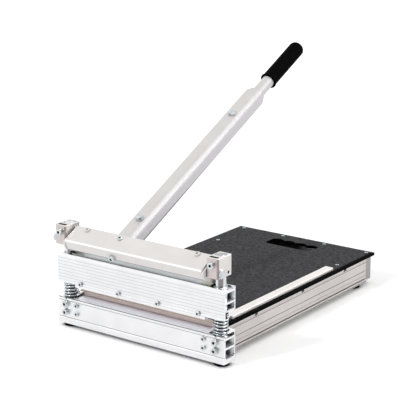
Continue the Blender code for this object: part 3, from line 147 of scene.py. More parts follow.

# %% [markdown]
# Real edges are never perfectly sharp, and years of hands and planks rub them bright. They could
# be bevelled in the mesh, but the shapes of the frame are fixed. The Bevel node gives the normal
# that a rounded edge would have, and where it differs from the true one there is an edge to rub.
# Gaps get painted shade, since the white room lights them too well. The Ambient Occlusion node
# tells how much of the sky a point sees within a reach, and only points that see little of it get a
# dark coat of painted shade.

# %% Helpers for edges and gaps
def edges(tree, radius):
    """(rounded normal, mask that is 1 at edges) for edges of a radius in metres."""
    rounded = add(tree, "ShaderNodeBevel", {"samples": 6}, Radius=radius).outputs["Normal"]
    true = add(tree, "ShaderNodeNewGeometry").outputs["Normal"]
    same = add(tree, "ShaderNodeVectorMath", {"operation": "DOT_PRODUCT"}, _0=rounded, _1=true)
    mask = add(tree, "ShaderNodeMapRange", None, Value=same.outputs["Value"],
               From_Min=0.995, From_Max=0.80)
    return rounded, mask.outputs["Result"]


def gap_shade_mask(tree, reach, open_sky=0.55, shut_sky=0.10, most=0.88):
    """0 where more than open_sky is seen within a reach, most where no more than shut_sky is."""
    seen = add(tree, "ShaderNodeAmbientOcclusion", {"samples": 8}, Distance=reach).outputs["AO"]
    return add(tree, "ShaderNodeMapRange", None, Value=seen, From_Min=open_sky,
               From_Max=shut_sky, To_Max=most).outputs["Result"]


print("edge and gap helpers ready")

# %% [markdown]
# The beams, rails and blocks are extruded aluminium with a satin anodised skin. The press that
# pushed them through a die leaves hair lines along their length, and the acid bath turns them to a
# soft, even grey white. The lines are noise stretched a hundredfold along the extrusion, which
# fits every section without unwrapping it. The real ones are some 0.05 mm apart, too fine for this
# picture, so they are drawn about 0.8 mm apart. Rubbed edges are smoother as well as brighter.

# %% Recipe for satin anodised aluminium
BARE_EDGE = "F4F4F6"


def anodised(name, along, dark, light, coats, gap_shade="33373C", reach=14 * MM):
    """Aluminium pressed along an axis. coats(tree, rubbed) lists what lies on its base tone."""
    material, tree, shader = new_material(name)
    stretch = [0.01 if axis == along else 1.0 for axis in "XYZ"]
    lines = speckle(tree, 0.8 * MM, 2.0, stretch)
    rounded, rubbed = edges(tree, 0.25 * MM)
    base = toned(tree, speckle(tree, 60 * MM), dark, light)
    # The last coat is painted shade in gaps.
    color = coated(tree, base, [*coats(tree, rubbed), (gap_shade_mask(tree, reach), gap_shade)])
    satin = add(tree, "ShaderNodeMapRange", None, Value=lines, From_Min=0.3, From_Max=0.7,
                To_Min=0.36, To_Max=0.50).outputs["Result"]
    polish = add(tree, "ShaderNodeMath", {"operation": "MULTIPLY"}, _0=rubbed, _1=0.12).outputs[0]
    rough = add(tree, "ShaderNodeMath", {"operation": "SUBTRACT"}, _0=satin, _1=polish).outputs[0]
    shader.inputs["Metallic"].default_value = 1.0
    surfaced(tree, shader, color, rough, rounded, lines, 0.12, 0.05 * MM)
    return material


def bare_edges(tree, rubbed):
    """The coats of a plain extrusion."""
    return [(rubbed, BARE_EDGE)]


ALUMINIUM_FENCE = anodised("satin_anodised_aluminium_fence", "Y", "E9E4E1", "F2EEEC", bare_edges)
print("made", ALUMINIUM_FENCE.name)

# %% [markdown]
# The die also cut fine steps into the faces of the lower beam and the rails. Some are thinner than
# a pixel and would vanish or flicker as geometry. The shade in them shows as thin dark lines, so
# here it is painted as level lines in the finish, each found by its height above the floor.

# %% Finishes: the lower beam and the rails
# Painted shade lines: height, half width and tint of each.
BEAM_SHADE_LINES = [(20.0 * MM, 0.6 * MM, "8E8F93"), (59.9 * MM, 0.55 * MM, "3A3A40")]
RAIL_SHADE_LINES = [(52.6 * MM, 0.7 * MM, "77726F"), (24.0 * MM, 0.6 * MM, "A39E9B"),
              (11.2 * MM, 0.7 * MM, "6A6562")]


def place_on_object(tree):
    """The X, Y and Z outputs of the object's own coordinates."""
    place = add(tree, "ShaderNodeTexCoord").outputs["Object"]
    return add(tree, "ShaderNodeSeparateXYZ", None, Vector=place).outputs


def level_line(tree, level, half):
    """1 within half a width of a height, 0 beside it."""
    return add(tree, "ShaderNodeMath", {"operation": "COMPARE"}, _0=place_on_object(tree)["Z"],
               _1=level, _2=half).outputs[0]


def shade_lined(lines):
    """Coats with painted shade lines at levels, each with its height, half its width and its tint.
    """
    def coats(tree, rubbed):
        drawn = [(level_line(tree, level, half), tint) for level, half, tint in lines]
        return [(rubbed, BARE_EDGE), *drawn]
    return coats


ALUMINIUM_X = anodised("satin_anodised_aluminium_beams", "X", "F0F0F1", "F8F8F9",
                       shade_lined(BEAM_SHADE_LINES), gap_shade="26343E")
ALUMINIUM_Y = anodised("satin_anodised_aluminium_rails", "Y", "CCC7C5", "D5D0CE",
                       shade_lined(RAIL_SHADE_LINES), gap_shade="17191C")
print("made", ALUMINIUM_X.name, "and", ALUMINIUM_Y.name)

# %% [markdown]
# The upper beam's face has sixteen fine ribs. They are in its mesh, but under light from all sides
# their steps hardly show, so the finish paints a soft grey line of shade in every second one: the
# height is counted in pairs of ribs from the top, and the last part of each is painted grey.

# %% Finish: the ribbed upper beam
RIB_TOP, RIB_PAIR, RIB_PAIRS = 146.0 * MM, 2 * 3.156 * MM, 8
STEP_FROM = 0.72


def ribbed(tree, rubbed):
    """Coats with a painted grey shade at the foot of each pair of ribs."""
    turns = add(tree, "ShaderNodeMath", {"operation": "MULTIPLY_ADD"},
                _0=place_on_object(tree)["Z"], _1=-1 / RIB_PAIR, _2=RIB_TOP / RIB_PAIR).outputs[0]
    share = add(tree, "ShaderNodeMath", {"operation": "FRACT"}, _0=turns).outputs[0]
    low = add(tree, "ShaderNodeMath", {"operation": "GREATER_THAN"}, _0=share,
              _1=STEP_FROM).outputs[0]
    inside = add(tree, "ShaderNodeMath", {"operation": "COMPARE"}, _0=turns, _1=RIB_PAIRS / 2,
                 _2=RIB_PAIRS / 2).outputs[0]
    rib_shade = add(tree, "ShaderNodeMath", {"operation": "MULTIPLY"}, _0=low, _1=inside).outputs[0]
    return [(rubbed, BARE_EDGE), (rib_shade, "DFE1E5")]


ALUMINIUM_RIBBED = anodised("satin_anodised_aluminium_upper_beam", "X", "F0F0F2", "F7F7F9",
                            ribbed, gap_shade="26343E")
print("made", ALUMINIUM_RIBBED.name, "with", RIB_PAIRS, "grey steps")

# %% [markdown]
# Some marks cover one side of a piece, such as a saw cut, and some one spot, such as a stain. They
# could be painted, but a mask by direction and a mask by place follow the CAD part.

# %% Masks by direction and by place
def facing(tree, axis, turn):
    """1 on faces that look along an axis, or against it where turn is -1, and 0 on others."""
    normal = add(tree, "ShaderNodeNewGeometry").outputs["True Normal"]
    part = add(tree, "ShaderNodeSeparateXYZ", None, Vector=normal).outputs[axis]
    return add(tree, "ShaderNodeMapRange", None, Value=part, From_Min=0.5 * turn,
               From_Max=0.9 * turn).outputs["Result"]


def inside_box(tree, middle, half):
    """1 inside a box of the object's own coordinates, 0 outside."""
    place, inside = place_on_object(tree), 1.0
    for i in range(3):
        near = add(tree, "ShaderNodeMath", {"operation": "COMPARE"}, _0=place[i], _1=middle[i],
                   _2=half[i]).outputs[0]
        inside = add(tree, "ShaderNodeMath", {"operation": "MULTIPLY"}, _0=near,
                     _1=inside).outputs[0]
    return inside


print("direction and box masks ready")

# %% [markdown]
# Each hinge block is sawn off a bar. Its front is painted a little pinker and darker than its sides
# as painted shade, a painted dark reflection runs along its front right corner, and no light
# reaches the slot in its top, which is painted near black as shade. The two blocks are mirrored in
# place but not in these painted marks, so one recipe serves both, with the side as its only choice.

# %% Finish: the hinge blocks
SIDES = ("left", "right")
POSTS = {side: sum(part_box("guide_post_" + side), Vector()) / 2 for side in SIDES}
UNLIT = "0C0C0D"


def block_coats(side):
    """Coats of a block: front in painted shade, a painted dark reflection on the corner, bare edges
    and the slot in painted shade.
    """
    low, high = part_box("post_block_" + side)
    corner = Vector((high.x, low.y, (low.z + high.z) / 2 - 0.5 * MM))
    corner_half = (3.6 * MM, 2.4 * MM, (high.z - low.z) / 2 - MM)
    slot = Vector((POSTS[side].x, low.y + 6.9 * MM, high.z - 10.05 * MM))
    slot_half = (10.3 * MM, 3.6 * MM, 10 * MM)

    def coats(tree, rubbed):
        return [
            # Painted shade on the front.
            (facing(tree, "Y", -1), "CFC7C6"),
            # Painted dark reflection along the front right corner.
            (inside_box(tree, corner, corner_half), "A09290"),
            (rubbed, BARE_EDGE),
            # Painted near-black shade in the slot.
            (inside_box(tree, slot, slot_half), UNLIT),
        ]
    return coats


BLOCKS = {
    side: anodised("satin_anodised_aluminium_block_" + side, "Z", "D8D4D1", "E4E0DD",
                   block_coats(side), gap_shade=UNLIT, reach=7 * MM)
    for side in SIDES
}
print("made", [block.name for block in BLOCKS.values()], "beside posts at", POSTS)

# %% [markdown]
# The rear rail is seen twice: its back and ends in the open, and its inner face through the hand
# hole of the deck. That inner face is painted dark as shade, and painted light rises slowly along X
# towards the right, where the lamp reaches it through the hole.

# %% Finish: the rear rail
HOLE_LIGHT_FROM, HOLE_LIGHT_FULL = -5 * MM, 50 * MM


def rear_coats(tree, rubbed):
    """Coats of the rear rail: sawn ends, inner face in painted shade with painted light along X,
    bare edges.
    """
    inner = facing(tree, "Y", -1)
    # Painted light rising along X on the inner face, which is painted dark as shade.
    rising = add(tree, "ShaderNodeMapRange", {"interpolation_type": "SMOOTHSTEP"},
                 Value=place_on_object(tree)["X"], From_Min=HOLE_LIGHT_FROM,
                 From_Max=HOLE_LIGHT_FULL).outputs["Result"]
    dust_and_light = add(tree, "ShaderNodeMath", {"operation": "MULTIPLY"}, _0=rising, _1=inner).outputs[0]
    ends = [(facing(tree, "X", turn), "A5A2A0") for turn in (1, -1)]
    return [*ends, (inner, "303032"), (dust_and_light, "F0F0F4"), (rubbed, BARE_EDGE)]


ALUMINIUM_REAR = anodised("satin_anodised_aluminium_rear_rail", "X", "D8D3D1", "E2DDDB",
                          rear_coats)
print("made", ALUMINIUM_REAR.name)

# %% [markdown]
# The lever, its cams, the arm and the tube wear a satin silver-white lacquer. Sprayed lacquer
# dries with a faint orange peel, waves of about 1.5 mm, and it thins at edges, where metal shows
# through in patches. The waves are far too shallow to model, so a relief bends only the light.

# %% Recipe for sprayed satin lacquer
def worn_and_shaded(tree, rubbed):
    """Coats of plain lacquer: edges worn in patches of 6 mm, and painted shade in gaps."""
    patches = speckle(tree, 6 * MM, 4.0)
    worn = add(tree, "ShaderNodeMath", {"operation": "MULTIPLY"}, _0=rubbed, _1=patches).outputs[0]
    return [(worn, "C9C7C6"), (gap_shade_mask(tree, 10 * MM), "3A3734")]


def lacquer(name, dark, light, coats, peel_height=0.10, smoothest=0.24):
    """Sprayed lacquer. coats(tree, rubbed) lists what lies on its base tone."""
    material, tree, shader = new_material(name)
    clouds = speckle(tree, 45 * MM, 4.0)
    rounded, rubbed = edges(tree, 0.6 * MM)
    color = coated(tree, toned(tree, clouds, dark, light), coats(tree, rubbed))
    rough = add(tree, "ShaderNodeMapRange", None, Value=clouds, To_Min=smoothest,
                To_Max=smoothest + 0.04).outputs["Result"]
    peel = speckle(tree, 1.5 * MM, 2.0)
    surfaced(tree, shader, color, rough, rounded, peel, peel_height, 0.1 * MM)
    return material


LACQUER = lacquer("satin_sprayed_lacquer", "D6D2D0", "DCD9D7", worn_and_shaded)
print("made", LACQUER.name)

# %% [markdown]
# The lever beam's front ridge catches the light as a white band, and its lip ends in a thin dark
# line. Both are coats: a painted highlight and a painted shade. The ridge is where the shading
# normal looks halfway between up and forward, seen in the tilt of the handle, and the line lies at
# the lip's height.

# %% Finish: the lever beam
HANDLE_TILT = math.radians(26.5)
ALONG = Vector((0.0, math.cos(HANDLE_TILT), math.sin(HANDLE_TILT)))
ACROSS = Vector((0.0, -math.sin(HANDLE_TILT), math.cos(HANDLE_TILT)))
RIDGE = (ACROSS - ALONG).normalized()
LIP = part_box("lever_beam")[0].z + 0.6 * MM


def looking(tree, direction, first, full, most=1.0):
    """Rises from 0 to most as the cosine to a direction goes from first to full."""
    normal = add(tree, "ShaderNodeNewGeometry").outputs["Normal"]
    cosine = add(tree, "ShaderNodeVectorMath", {"operation": "DOT_PRODUCT"}, _0=normal,
                 _1=direction).outputs["Value"]
    return add(tree, "ShaderNodeMapRange", None, Value=cosine, From_Min=first, From_Max=full,
               To_Max=most).outputs["Result"]


def lever_coats(tree, rubbed):
    """Coats of the lever beam: wear, painted highlight on the ridge, painted shade along the lip
    and in gaps.
    """
    worn, gaps = worn_and_shaded(tree, rubbed)
    # Painted highlight on the ridge.
    ridge = (looking(tree, RIDGE, 0.89, 0.95), "FFFFFF")
    # Painted shade under the lip.
    line = (level_line(tree, LIP, 0.6 * MM), "77746F")
    return [worn, ridge, line, gaps]


LEVER_LACQUER = lacquer("satin_sprayed_lacquer_lever", "D6D2D0", "DCD9D7", lever_coats)
print("made", LEVER_LACQUER.name, "with a lip at", round(LIP, 4))

# %% [markdown]
# The arm's right side is painted a cooler tone than its top, as painted light. Along its lower edge
# runs a painted shade, a dark line that fades halfway to the grip. The arm leans, so the line can't
# be found by height: its place is measured across the arm, and its fading along it.

# %% Finish: the arm and the tube
def span(name, direction):
    """How far the points of a node reach along a direction, first and last."""
    reach = [v.co.dot(direction) for v in nodes[name].data.vertices]
    return min(reach), max(reach)


ARM_LOW_EDGE = span("handle_arm", ACROSS)[0]
ARM_MIDDLE = sum(span("handle_arm", ALONG)) / 2


def handle_coats(tree, rubbed):
    """Coats of the arm: side in painted light, wear, and painted shade in gaps and along the lower
    edge.
    """
    place = add(tree, "ShaderNodeTexCoord").outputs["Object"]
    across, along = (add(tree, "ShaderNodeVectorMath", {"operation": "DOT_PRODUCT"}, _0=place,
                         _1=axis).outputs["Value"] for axis in (ACROSS, ALONG))
    low = add(tree, "ShaderNodeMapRange", None, Value=across, From_Min=ARM_LOW_EDGE + 1.4 * MM,
              From_Max=ARM_LOW_EDGE + 3.4 * MM, To_Min=0.85, To_Max=0.0).outputs["Result"]
    near = add(tree, "ShaderNodeMapRange", None, Value=along, From_Min=ARM_MIDDLE - 80 * MM,
               From_Max=ARM_MIDDLE + 60 * MM, To_Min=1.0, To_Max=0.0).outputs["Result"]
    painted_edge_shade = add(tree, "ShaderNodeMath", {"operation": "MULTIPLY"}, _0=low, _1=near).outputs[0]
    # The side tone is painted light; the line along the lower edge is painted shade.
    return [(facing(tree, "X", 1), "DAD8DA"), *worn_and_shaded(tree, rubbed), (painted_edge_shade, "3C3C3E")]


HANDLE_LACQUER = lacquer("satin_sprayed_lacquer_handle", "CBC8C6", "D1CECC", handle_coats,
                         peel_height=0.015, smoothest=0.29)
print("made", HANDLE_LACQUER.name, "shade_painted below", round(ARM_MIDDLE, 4), "along the arm")

# %% [markdown]
# The press strip, the blade and the plate in the throat are ground steel: a stone wheel leaves
# fine scratches along X, and the steel keeps a cool, faintly violet grey. The scratches are noise
# stretched fiftyfold, drawn 0.9 mm apart so that they show. The strip is greased where the cams
# slide, and old grease is an olive film that pools near both ends.

# %% Finish: ground steel, clean and greased
def grease_coats(tree):
    """Coats of old grease: an olive film towards both ends, and painted shade in gaps."""
    side = add(tree, "ShaderNodeMath", {"operation": "ABSOLUTE"},
               _0=place_on_object(tree)["X"]).outputs[0]
    near = add(tree, "ShaderNodeMapRange", {"interpolation_type": "SMOOTHSTEP"}, Value=side,
               From_Min=70 * MM, From_Max=150 * MM).outputs["Result"]
    pools = add(tree, "ShaderNodeMath", {"operation": "MULTIPLY"}, _0=near,
                _1=speckle(tree, 12 * MM, 5.0)).outputs[0]
    film = add(tree, "ShaderNodeMapRange", None, Value=pools, From_Min=0.42, From_Max=0.60,
               To_Max=0.6).outputs["Result"]
    # The second coat is painted shade in gaps.
    return [(film, "8F8C5E"), (gap_shade_mask(tree, 12 * MM, 0.70, 0.25, 0.80), "34352A")]


def ground(name, dark, light, greased=False):
    """Ground steel, clean or greased."""
    material, tree, shader = new_material(name)
    scratches = speckle(tree, 0.9 * MM, 3.0, (0.02, 1.0, 1.0))
    rounded, rubbed = edges(tree, 0.3 * MM)
    coats = [(rubbed, "F0F0F4"), *(grease_coats(tree) if greased else ())]
    color = coated(tree, toned(tree, scratches, dark, light), coats)
    rough = add(tree, "ShaderNodeMapRange", None, Value=speckle(tree, 25 * MM), To_Min=0.28,
                To_Max=0.42).outputs["Result"]
    shader.inputs["Metallic"].default_value = 1.0
    surfaced(tree, shader, color, rough, rounded, scratches, 0.15, 0.05 * MM)
    return material


STEEL = ground("ground_steel_clean", "E0DFE8", "EEEEF4")
GREASED_STEEL = ground("ground_steel_greased", "A9AFB2", "C6CCCF", greased=True)
print("made", STEEL.name, "and", GREASED_STEEL.name)

# %% [markdown]
# Screws, bushes and springs are bright zinc plated. The passivating bath leaves a thin film with a
# blue cast that turns pale straw in patches of some 7 mm, and the plate is smooth enough for crisp
# reflections with a little haze. The posts are polished steel, smoother still, with a painted dark
# reflection on the side that looks along one direction, so the recipe also takes the direction of
# that streak. Gaps get painted shade.

# %% Finish: bright zinc plate and polished posts
def zinc(name, dark, light, smoothest, roughest, streak=None):
    """A bright plated or polished surface, with a painted dark reflection where it looks along a
    streak.
    """
    material, tree, shader = new_material(name)
    haze = speckle(tree, 1.2 * MM, 2.0)
    rounded, rubbed = edges(tree, 0.35 * MM)
    coats = [(rubbed, "E8EBEE")]
    if streak:
        # Painted dark reflection where the surface looks along the streak.
        coats.append((looking(tree, streak, 0.86, 0.92, 0.85), "6E666A"))
    # Painted shade in gaps.
    coats.append((gap_shade_mask(tree, 6 * MM, 0.66, 0.22, 0.94), "183038"))
    color = coated(tree, toned(tree, speckle(tree, 7 * MM, 4.0), dark, light), coats)
    rough = add(tree, "ShaderNodeMapRange", None, Value=haze, To_Min=smoothest,
                To_Max=roughest).outputs["Result"]
    shader.inputs["Metallic"].default_value = 1.0
    surfaced(tree, shader, color, rough, rounded, haze, 0.08, 0.03 * MM)
    return material


ZINC = zinc("bright_zinc_plate", "BFCAD1", "E4E6E4", 0.12, 0.24)
POST_STEEL = zinc("polished_post_steel", "D3D8DB", "E6E8EA", 0.04, 0.09,
                  streak=Vector((0.58, -0.81, 0.0)))
print("made", ZINC.name, "and", POST_STEEL.name)

# %% [markdown]
# The deck is a pressed board with a black film that carries a pebble grain, as on a van floor. The
# grains are about 1 mm on the real sheet and are drawn 2 mm wide here so that they show. Grains
# that planks have rubbed turn a little greyer, in a mottled charcoal. Outside the fence the film is
# painted near black, a painted shade beside the fence. It stops short of the throat, where the
# blade would lift it, and bares the tan board there.

# %% Coats of the deck's film
FENCE_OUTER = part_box("fence_bar")[1].x
FILM_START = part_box("deck_board")[0].y + 14 * MM


def film_coats(tree, grains, rubbed):
    """Coats of the deck: dusty grains, a margin in painted shade, bare front, dark sides and edges.
    """
    dust_and_light = add(tree, "ShaderNodeMapRange", None, Value=grains, From_Min=0.15, From_Max=0.75,
               To_Min=0.35, To_Max=0.0).outputs["Result"]
    place = place_on_object(tree)
    # Beyond the fence the film is painted near black as shade.
    fence_shade = add(tree, "ShaderNodeMapRange", None, Value=place["X"], From_Min=FENCE_OUTER - MM,
                 From_Max=FENCE_OUTER).outputs["Result"]
    bare = add(tree, "ShaderNodeMapRange", None, Value=place["Y"], From_Min=FILM_START,
               From_Max=FILM_START + MM, To_Min=1.0, To_Max=0.0).outputs["Result"]
    side = add(tree, "ShaderNodeMath", {"operation": "SUBTRACT"}, _0=1.0,
               _1=facing(tree, "Z", 1)).outputs[0]
    return [(dust_and_light, "4C4C4E"), (fence_shade, "040404"), (bare, "C6B5AD"), (side, "050505"),
            (rubbed, "0A0A0B")]


print("film from y", round(FILM_START, 4), "and unrubbed beyond x", round(FENCE_OUTER, 4))

# %% [markdown]
# The pebble grain is a Voronoi pattern, whose cells are round grains of one size, where noise
# would give clouds. Its relief is inverted because the distance grows away from each grain's
# middle. The film is dull, so it hardly mirrors the white room.

# %% Finish: grained black film
def film_board():
    material, tree, shader = new_material("grained_black_film")
    place = add(tree, "ShaderNodeTexCoord").outputs["Object"]
    grains = add(tree, "ShaderNodeTexVoronoi", {"feature": "SMOOTH_F1"}, Vector=place,
                 Scale=1 / (2 * MM)).outputs["Distance"]
    blotch = speckle(tree, 6 * MM, 6.0)
    rounded, rubbed = edges(tree, 0.8 * MM)
    color = coated(tree, toned(tree, blotch, "232324", "545456"), film_coats(tree, grains, rubbed))
    rough = add(tree, "ShaderNodeMapRange", None, Value=blotch, To_Min=0.58,
                To_Max=0.76).outputs["Result"]
    shader.inputs["Specular IOR Level"].default_value = 0.02
    surfaced(tree, shader, color, rough, rounded, grains, 0.5, 0.15 * MM, sunk=True)
    return material


FILM_BOARD = film_board()
print("made", FILM_BOARD.name)

# %% [markdown]
# The grip and the feet are moulded rubber, nearly black. The mould was sandblasted, and its grit
# dulls the rubber. It is some 0.2 mm fine on the real grip and drawn 0.7 mm here to show at all.

# %% Finish: moulded rubber
def rubber():
    material, tree, shader = new_material("moulded_black_rubber")
    clouds = speckle(tree, 15 * MM)
    rounded, rubbed = edges(tree, 0.5 * MM)
    color = coated(tree, toned(tree, clouds, "030303", "070707"), [(rubbed, "0C0C0C")])
    rough = add(tree, "ShaderNodeMapRange", None, Value=clouds, To_Min=0.40,
                To_Max=0.55).outputs["Result"]
    shader.inputs["Specular IOR Level"].default_value = 0.01
    surfaced(tree, shader, color, rough, rounded, speckle(tree, 0.7 * MM), 0.25, 0.08 * MM)
    return material


RUBBER = rubber()
print("made", RUBBER.name)

# %% [markdown]
# The anvil strip is a sawn pressed laminate in tan brown. Its plies, some 0.3 mm thick and drawn
# 0.9 mm here, are noise stretched a hundredfold along X. A coarser noise varies the saw's sheen.

# %% Finish: tan laminate
def laminate():
    material, tree, shader = new_material("sawn_tan_laminate")
    plies = speckle(tree, 0.9 * MM, 3.0, (0.01, 1.0, 1.0))
    rounded, rubbed = edges(tree, 0.3 * MM)
    color = coated(tree, toned(tree, plies, "C6B5AD", "DACBC4"), [(rubbed, "E4DAD5")])
    rough = add(tree, "ShaderNodeMapRange", None, Value=speckle(tree, 4 * MM, 4.0), To_Min=0.45,
                To_Max=0.65).outputs["Result"]
    surfaced(tree, shader, color, rough, rounded, plies, 0.2, 0.1 * MM)
    return material


LAMINATE = laminate()
print("made", LAMINATE.name)

# %% [markdown]
# Most pieces take the finish of their CAD slot. Where some look different in the photograph, a
# second table, read by the start of the name, goes first.

# %% Give every node its finish
FINISH_OF_SLOT = {
    "silver_aluminium": ALUMINIUM_X,
    "ground_steel": STEEL,
    "bright_zinc": ZINC,
    "white_lacquer": LACQUER,
    "black_texture": FILM_BOARD,
    "black_rubber": RUBBER,
    "tan_laminate": LAMINATE,
}
FINISH_OF_NAME = {
    "side_rail": ALUMINIUM_Y,
    "fence_bar": ALUMINIUM_FENCE,
    "rear_rail": ALUMINIUM_REAR,
    "upper_beam": ALUMINIUM_RIBBED,
    "post_block_left": BLOCKS["left"],
    "post_block_right": BLOCKS["right"],
    "guide_post": POST_STEEL,
    "lever_beam": LEVER_LACQUER,
    "press_strip": GREASED_STEEL,
    "handle_arm": HANDLE_LACQUER,
    "handle_tube": HANDLE_LACQUER,
    "cam_screw": LACQUER,
}
for name, node in nodes.items():
    own = [made for start, made in FINISH_OF_NAME.items() if name.startswith(start)]
    slot = node.data.materials[0].name.split(".")[0]
    node.data.materials[0] = own[0] if own else FINISH_OF_SLOT[slot]
print("finished", len(nodes), "nodes")

# %% [markdown]
# Geometry Nodes build or change a mesh by a recipe, as shader nodes do with colour. A tree starts
# with its named inputs and ends with its geometry, and the first helper declares both. The second
# ends a tree that makes something to be seen.

# %% Helpers for Geometry Nodes trees
def growing_tree(name, inputs):
    """An empty tree with inputs of (name, kind of socket, default) and one geometry output."""
    tree = bpy.data.node_groups.new(name, "GeometryNodeTree")
    for label, kind, value in inputs:
        socket = tree.interface.new_socket(label, in_out="INPUT", socket_type="NodeSocket" + kind)
        if value is not None:
            socket.default_value = value
    tree.interface.new_socket("Geometry", in_out="OUTPUT", socket_type="NodeSocketGeometry")
    return tree


def shown(tree, geometry, material):
    """Ends a tree: smooth faces, real geometry, and its material."""
    smooth = add(tree, "GeometryNodeSetShadeSmooth", None, Geometry=geometry, Shade_Smooth=True)
    real = add(tree, "GeometryNodeRealizeInstances", None, Geometry=smooth.outputs[0])
    done = add(tree, "GeometryNodeSetMaterial", None, Geometry=real.outputs[0], Material=material)
    tree.links.new(done.outputs[0], add(tree, "NodeGroupOutput").inputs[0])


print("tree helpers ready")

# %% [markdown]
# A CAD piece arrives as loose triangles, which shade as flat facets. A small tree joins their
# corners, shades every face smooth and keeps the edges sharper than a limit. It changes only how
# the piece shades, and it stays on the piece as a modifier, so its mesh isn't touched.

# %% Smooth shading for round pieces
def smoothing_tree():
    tree = growing_tree("smooth_round_faces", [
        ("Geometry", "Geometry", None),
        ("Sharp Angle", "Float", math.radians(35)),
    ])
    given = add(tree, "NodeGroupInput").outputs
    plain = add(tree, "GeometryNodeRemoveAttribute", None, Geometry=given["Geometry"],
                Name="custom_normal")
    joined = add(tree, "GeometryNodeMergeByDistance", None, Geometry=plain.outputs[0],
                 Distance=0.002 * MM)
    smooth = add(tree, "GeometryNodeSetShadeSmooth", {"domain": "FACE"},
                 Geometry=joined.outputs[0], Shade_Smooth=True)
    angle = add(tree, "GeometryNodeInputMeshEdgeAngle").outputs["Unsigned Angle"]
    sharp = add(tree, "FunctionNodeCompare", {"operation": "GREATER_THAN"}, A=angle,
                B=given["Sharp Angle"])
    kept = add(tree, "GeometryNodeSetShadeSmooth", {"domain": "EDGE"}, Geometry=smooth.outputs[0],
               Selection=sharp.outputs[0], Shade_Smooth=False)
    tree.links.new(kept.outputs[0], add(tree, "NodeGroupOutput").inputs[0])
    return tree


SMOOTH = smoothing_tree()
for node in nodes.values():
    node.modifiers.new("Smooth", "NODES").node_group = SMOOTH
    weighted = node.modifiers.new("Flat faces stay flat", "WEIGHTED_NORMAL")
    weighted.keep_sharp, weighted.weight = True, 100
print("smoothed", len(nodes), "nodes")

# %% [markdown]
# A return spring is one wire wound on a mandrel: five turns, the end turns pressed closer so that
# they sit flat. A screw modifier would wind it evenly, so Geometry Nodes wind it by a rule: the
# place along the wire gives the height, in three stretches, slow at both ends and faster in the
# middle.

# %% How high the wire climbs
def wire_height(tree, given):
    """The height of each point of the wire, from the inputs of the spring's tree."""
    along = add(tree, "GeometryNodeSplineParameter").outputs["Factor"]
    close, open_climb = given["End Closeness"], 3.0
    height = 0.0
    for start, end, climb in ((0.0, 0.2, close), (0.2, 0.8, open_climb), (0.8, 1.0, close)):
        part = add(tree, "ShaderNodeMapRange", None, Value=along, From_Min=start, From_Max=end,
                   To_Max=climb).outputs[0]
        height = add(tree, "ShaderNodeMath", {"operation": "ADD"}, _0=height, _1=part).outputs[0]
    total = add(tree, "ShaderNodeMath", {"operation": "MULTIPLY_ADD"}, _0=close, _1=2.0,
                _2=open_climb).outputs[0]
    share = add(tree, "ShaderNodeMath", {"operation": "DIVIDE"}, _0=height, _1=total).outputs[0]
    return add(tree, "ShaderNodeMath", {"operation": "MULTIPLY"}, _0=share,
               _1=given["Rise"]).outputs[0]


print("wire helper ready")

# %% [markdown]
# The wire itself starts as a flat spiral that gives only the circle. Each point is lifted to its
# height, turned left or right handed and moved to the spring's foot. A round profile swept along
# it is the wire, and both ends are capped.

# %% A tree that winds a spring
WIRE = 1.3 * MM


def wound_spring_tree():
    tree = growing_tree("wound_return_spring", [
        ("Coil Radius", "Float", 13.4 * MM), ("Wire Radius", "Float", WIRE),
        ("Turns", "Float", 5.0), ("Rise", "Float", 27.4 * MM), ("End Closeness", "Float", 0.62),
        ("Hand", "Float", 1.0), ("Place", "Vector", None), ("Material", "Material", None),
    ])
    given = add(tree, "NodeGroupInput").outputs
    flat = add(tree, "GeometryNodeCurveSpiral", None, Resolution=32, Rotations=given["Turns"],
               Start_Radius=given["Coil Radius"], End_Radius=given["Coil Radius"], Height=0.0)
    here = add(tree, "ShaderNodeSeparateXYZ", None,
               Vector=add(tree, "GeometryNodeInputPosition").outputs[0]).outputs
    handed = add(tree, "ShaderNodeMath", {"operation": "MULTIPLY"}, _0=here["Y"],
                 _1=given["Hand"])
    there = add(tree, "ShaderNodeCombineXYZ", None, X=here["X"], Y=handed.outputs[0],
                Z=wire_height(tree, given))
    placed = add(tree, "ShaderNodeVectorMath", {"operation": "ADD"}, _0=there.outputs[0],
                 _1=given["Place"])
    wound = add(tree, "GeometryNodeSetPosition", None, Geometry=flat.outputs[0],
                Position=placed.outputs[0])
    profile = add(tree, "GeometryNodeCurvePrimitiveCircle", None, Resolution=14,
                  Radius=given["Wire Radius"])
    swept = add(tree, "GeometryNodeCurveToMesh", None, Curve=wound.outputs[0],
                Profile_Curve=profile.outputs[0], Fill_Caps=True)
    shown(tree, swept.outputs[0], given["Material"])
    return tree


spring_tree = wound_spring_tree()
print("spring tree with", len(spring_tree.nodes), "nodes")

# %% [markdown]
# A tree runs as a modifier on an object. The export wants plain meshes, so the helper sets the
# inputs, lets Blender run the tree once, keeps the resulting mesh and takes the modifier off.

# %% Helpers for objects and baking
def in_scene(name, data):
    """A new object with this data, linked to the scene."""
    made = bpy.data.objects.new(name, data)
    bpy.context.scene.collection.objects.link(made)
    return made


def baked(helper, tree, values):
    """Runs a tree on an object with these inputs and leaves the result as its plain mesh."""
    modifier = helper.modifiers.new("Grow", "NODES")
    modifier.node_group = tree
    for item in tree.interface.items_tree:
        if item.in_out == "INPUT" and item.name in values:
            modifier[item.identifier] = values[item.name]
    bpy.context.view_layer.update()
    graph = bpy.context.evaluated_depsgraph_get()
    mesh = bpy.data.meshes.new_from_object(helper.evaluated_get(graph))
    helper.modifiers.clear()
    helper.data = mesh
    print(helper.name, len(mesh.vertices), "points", len(mesh.polygons), "faces")
    return helper


print("baking helper ready")

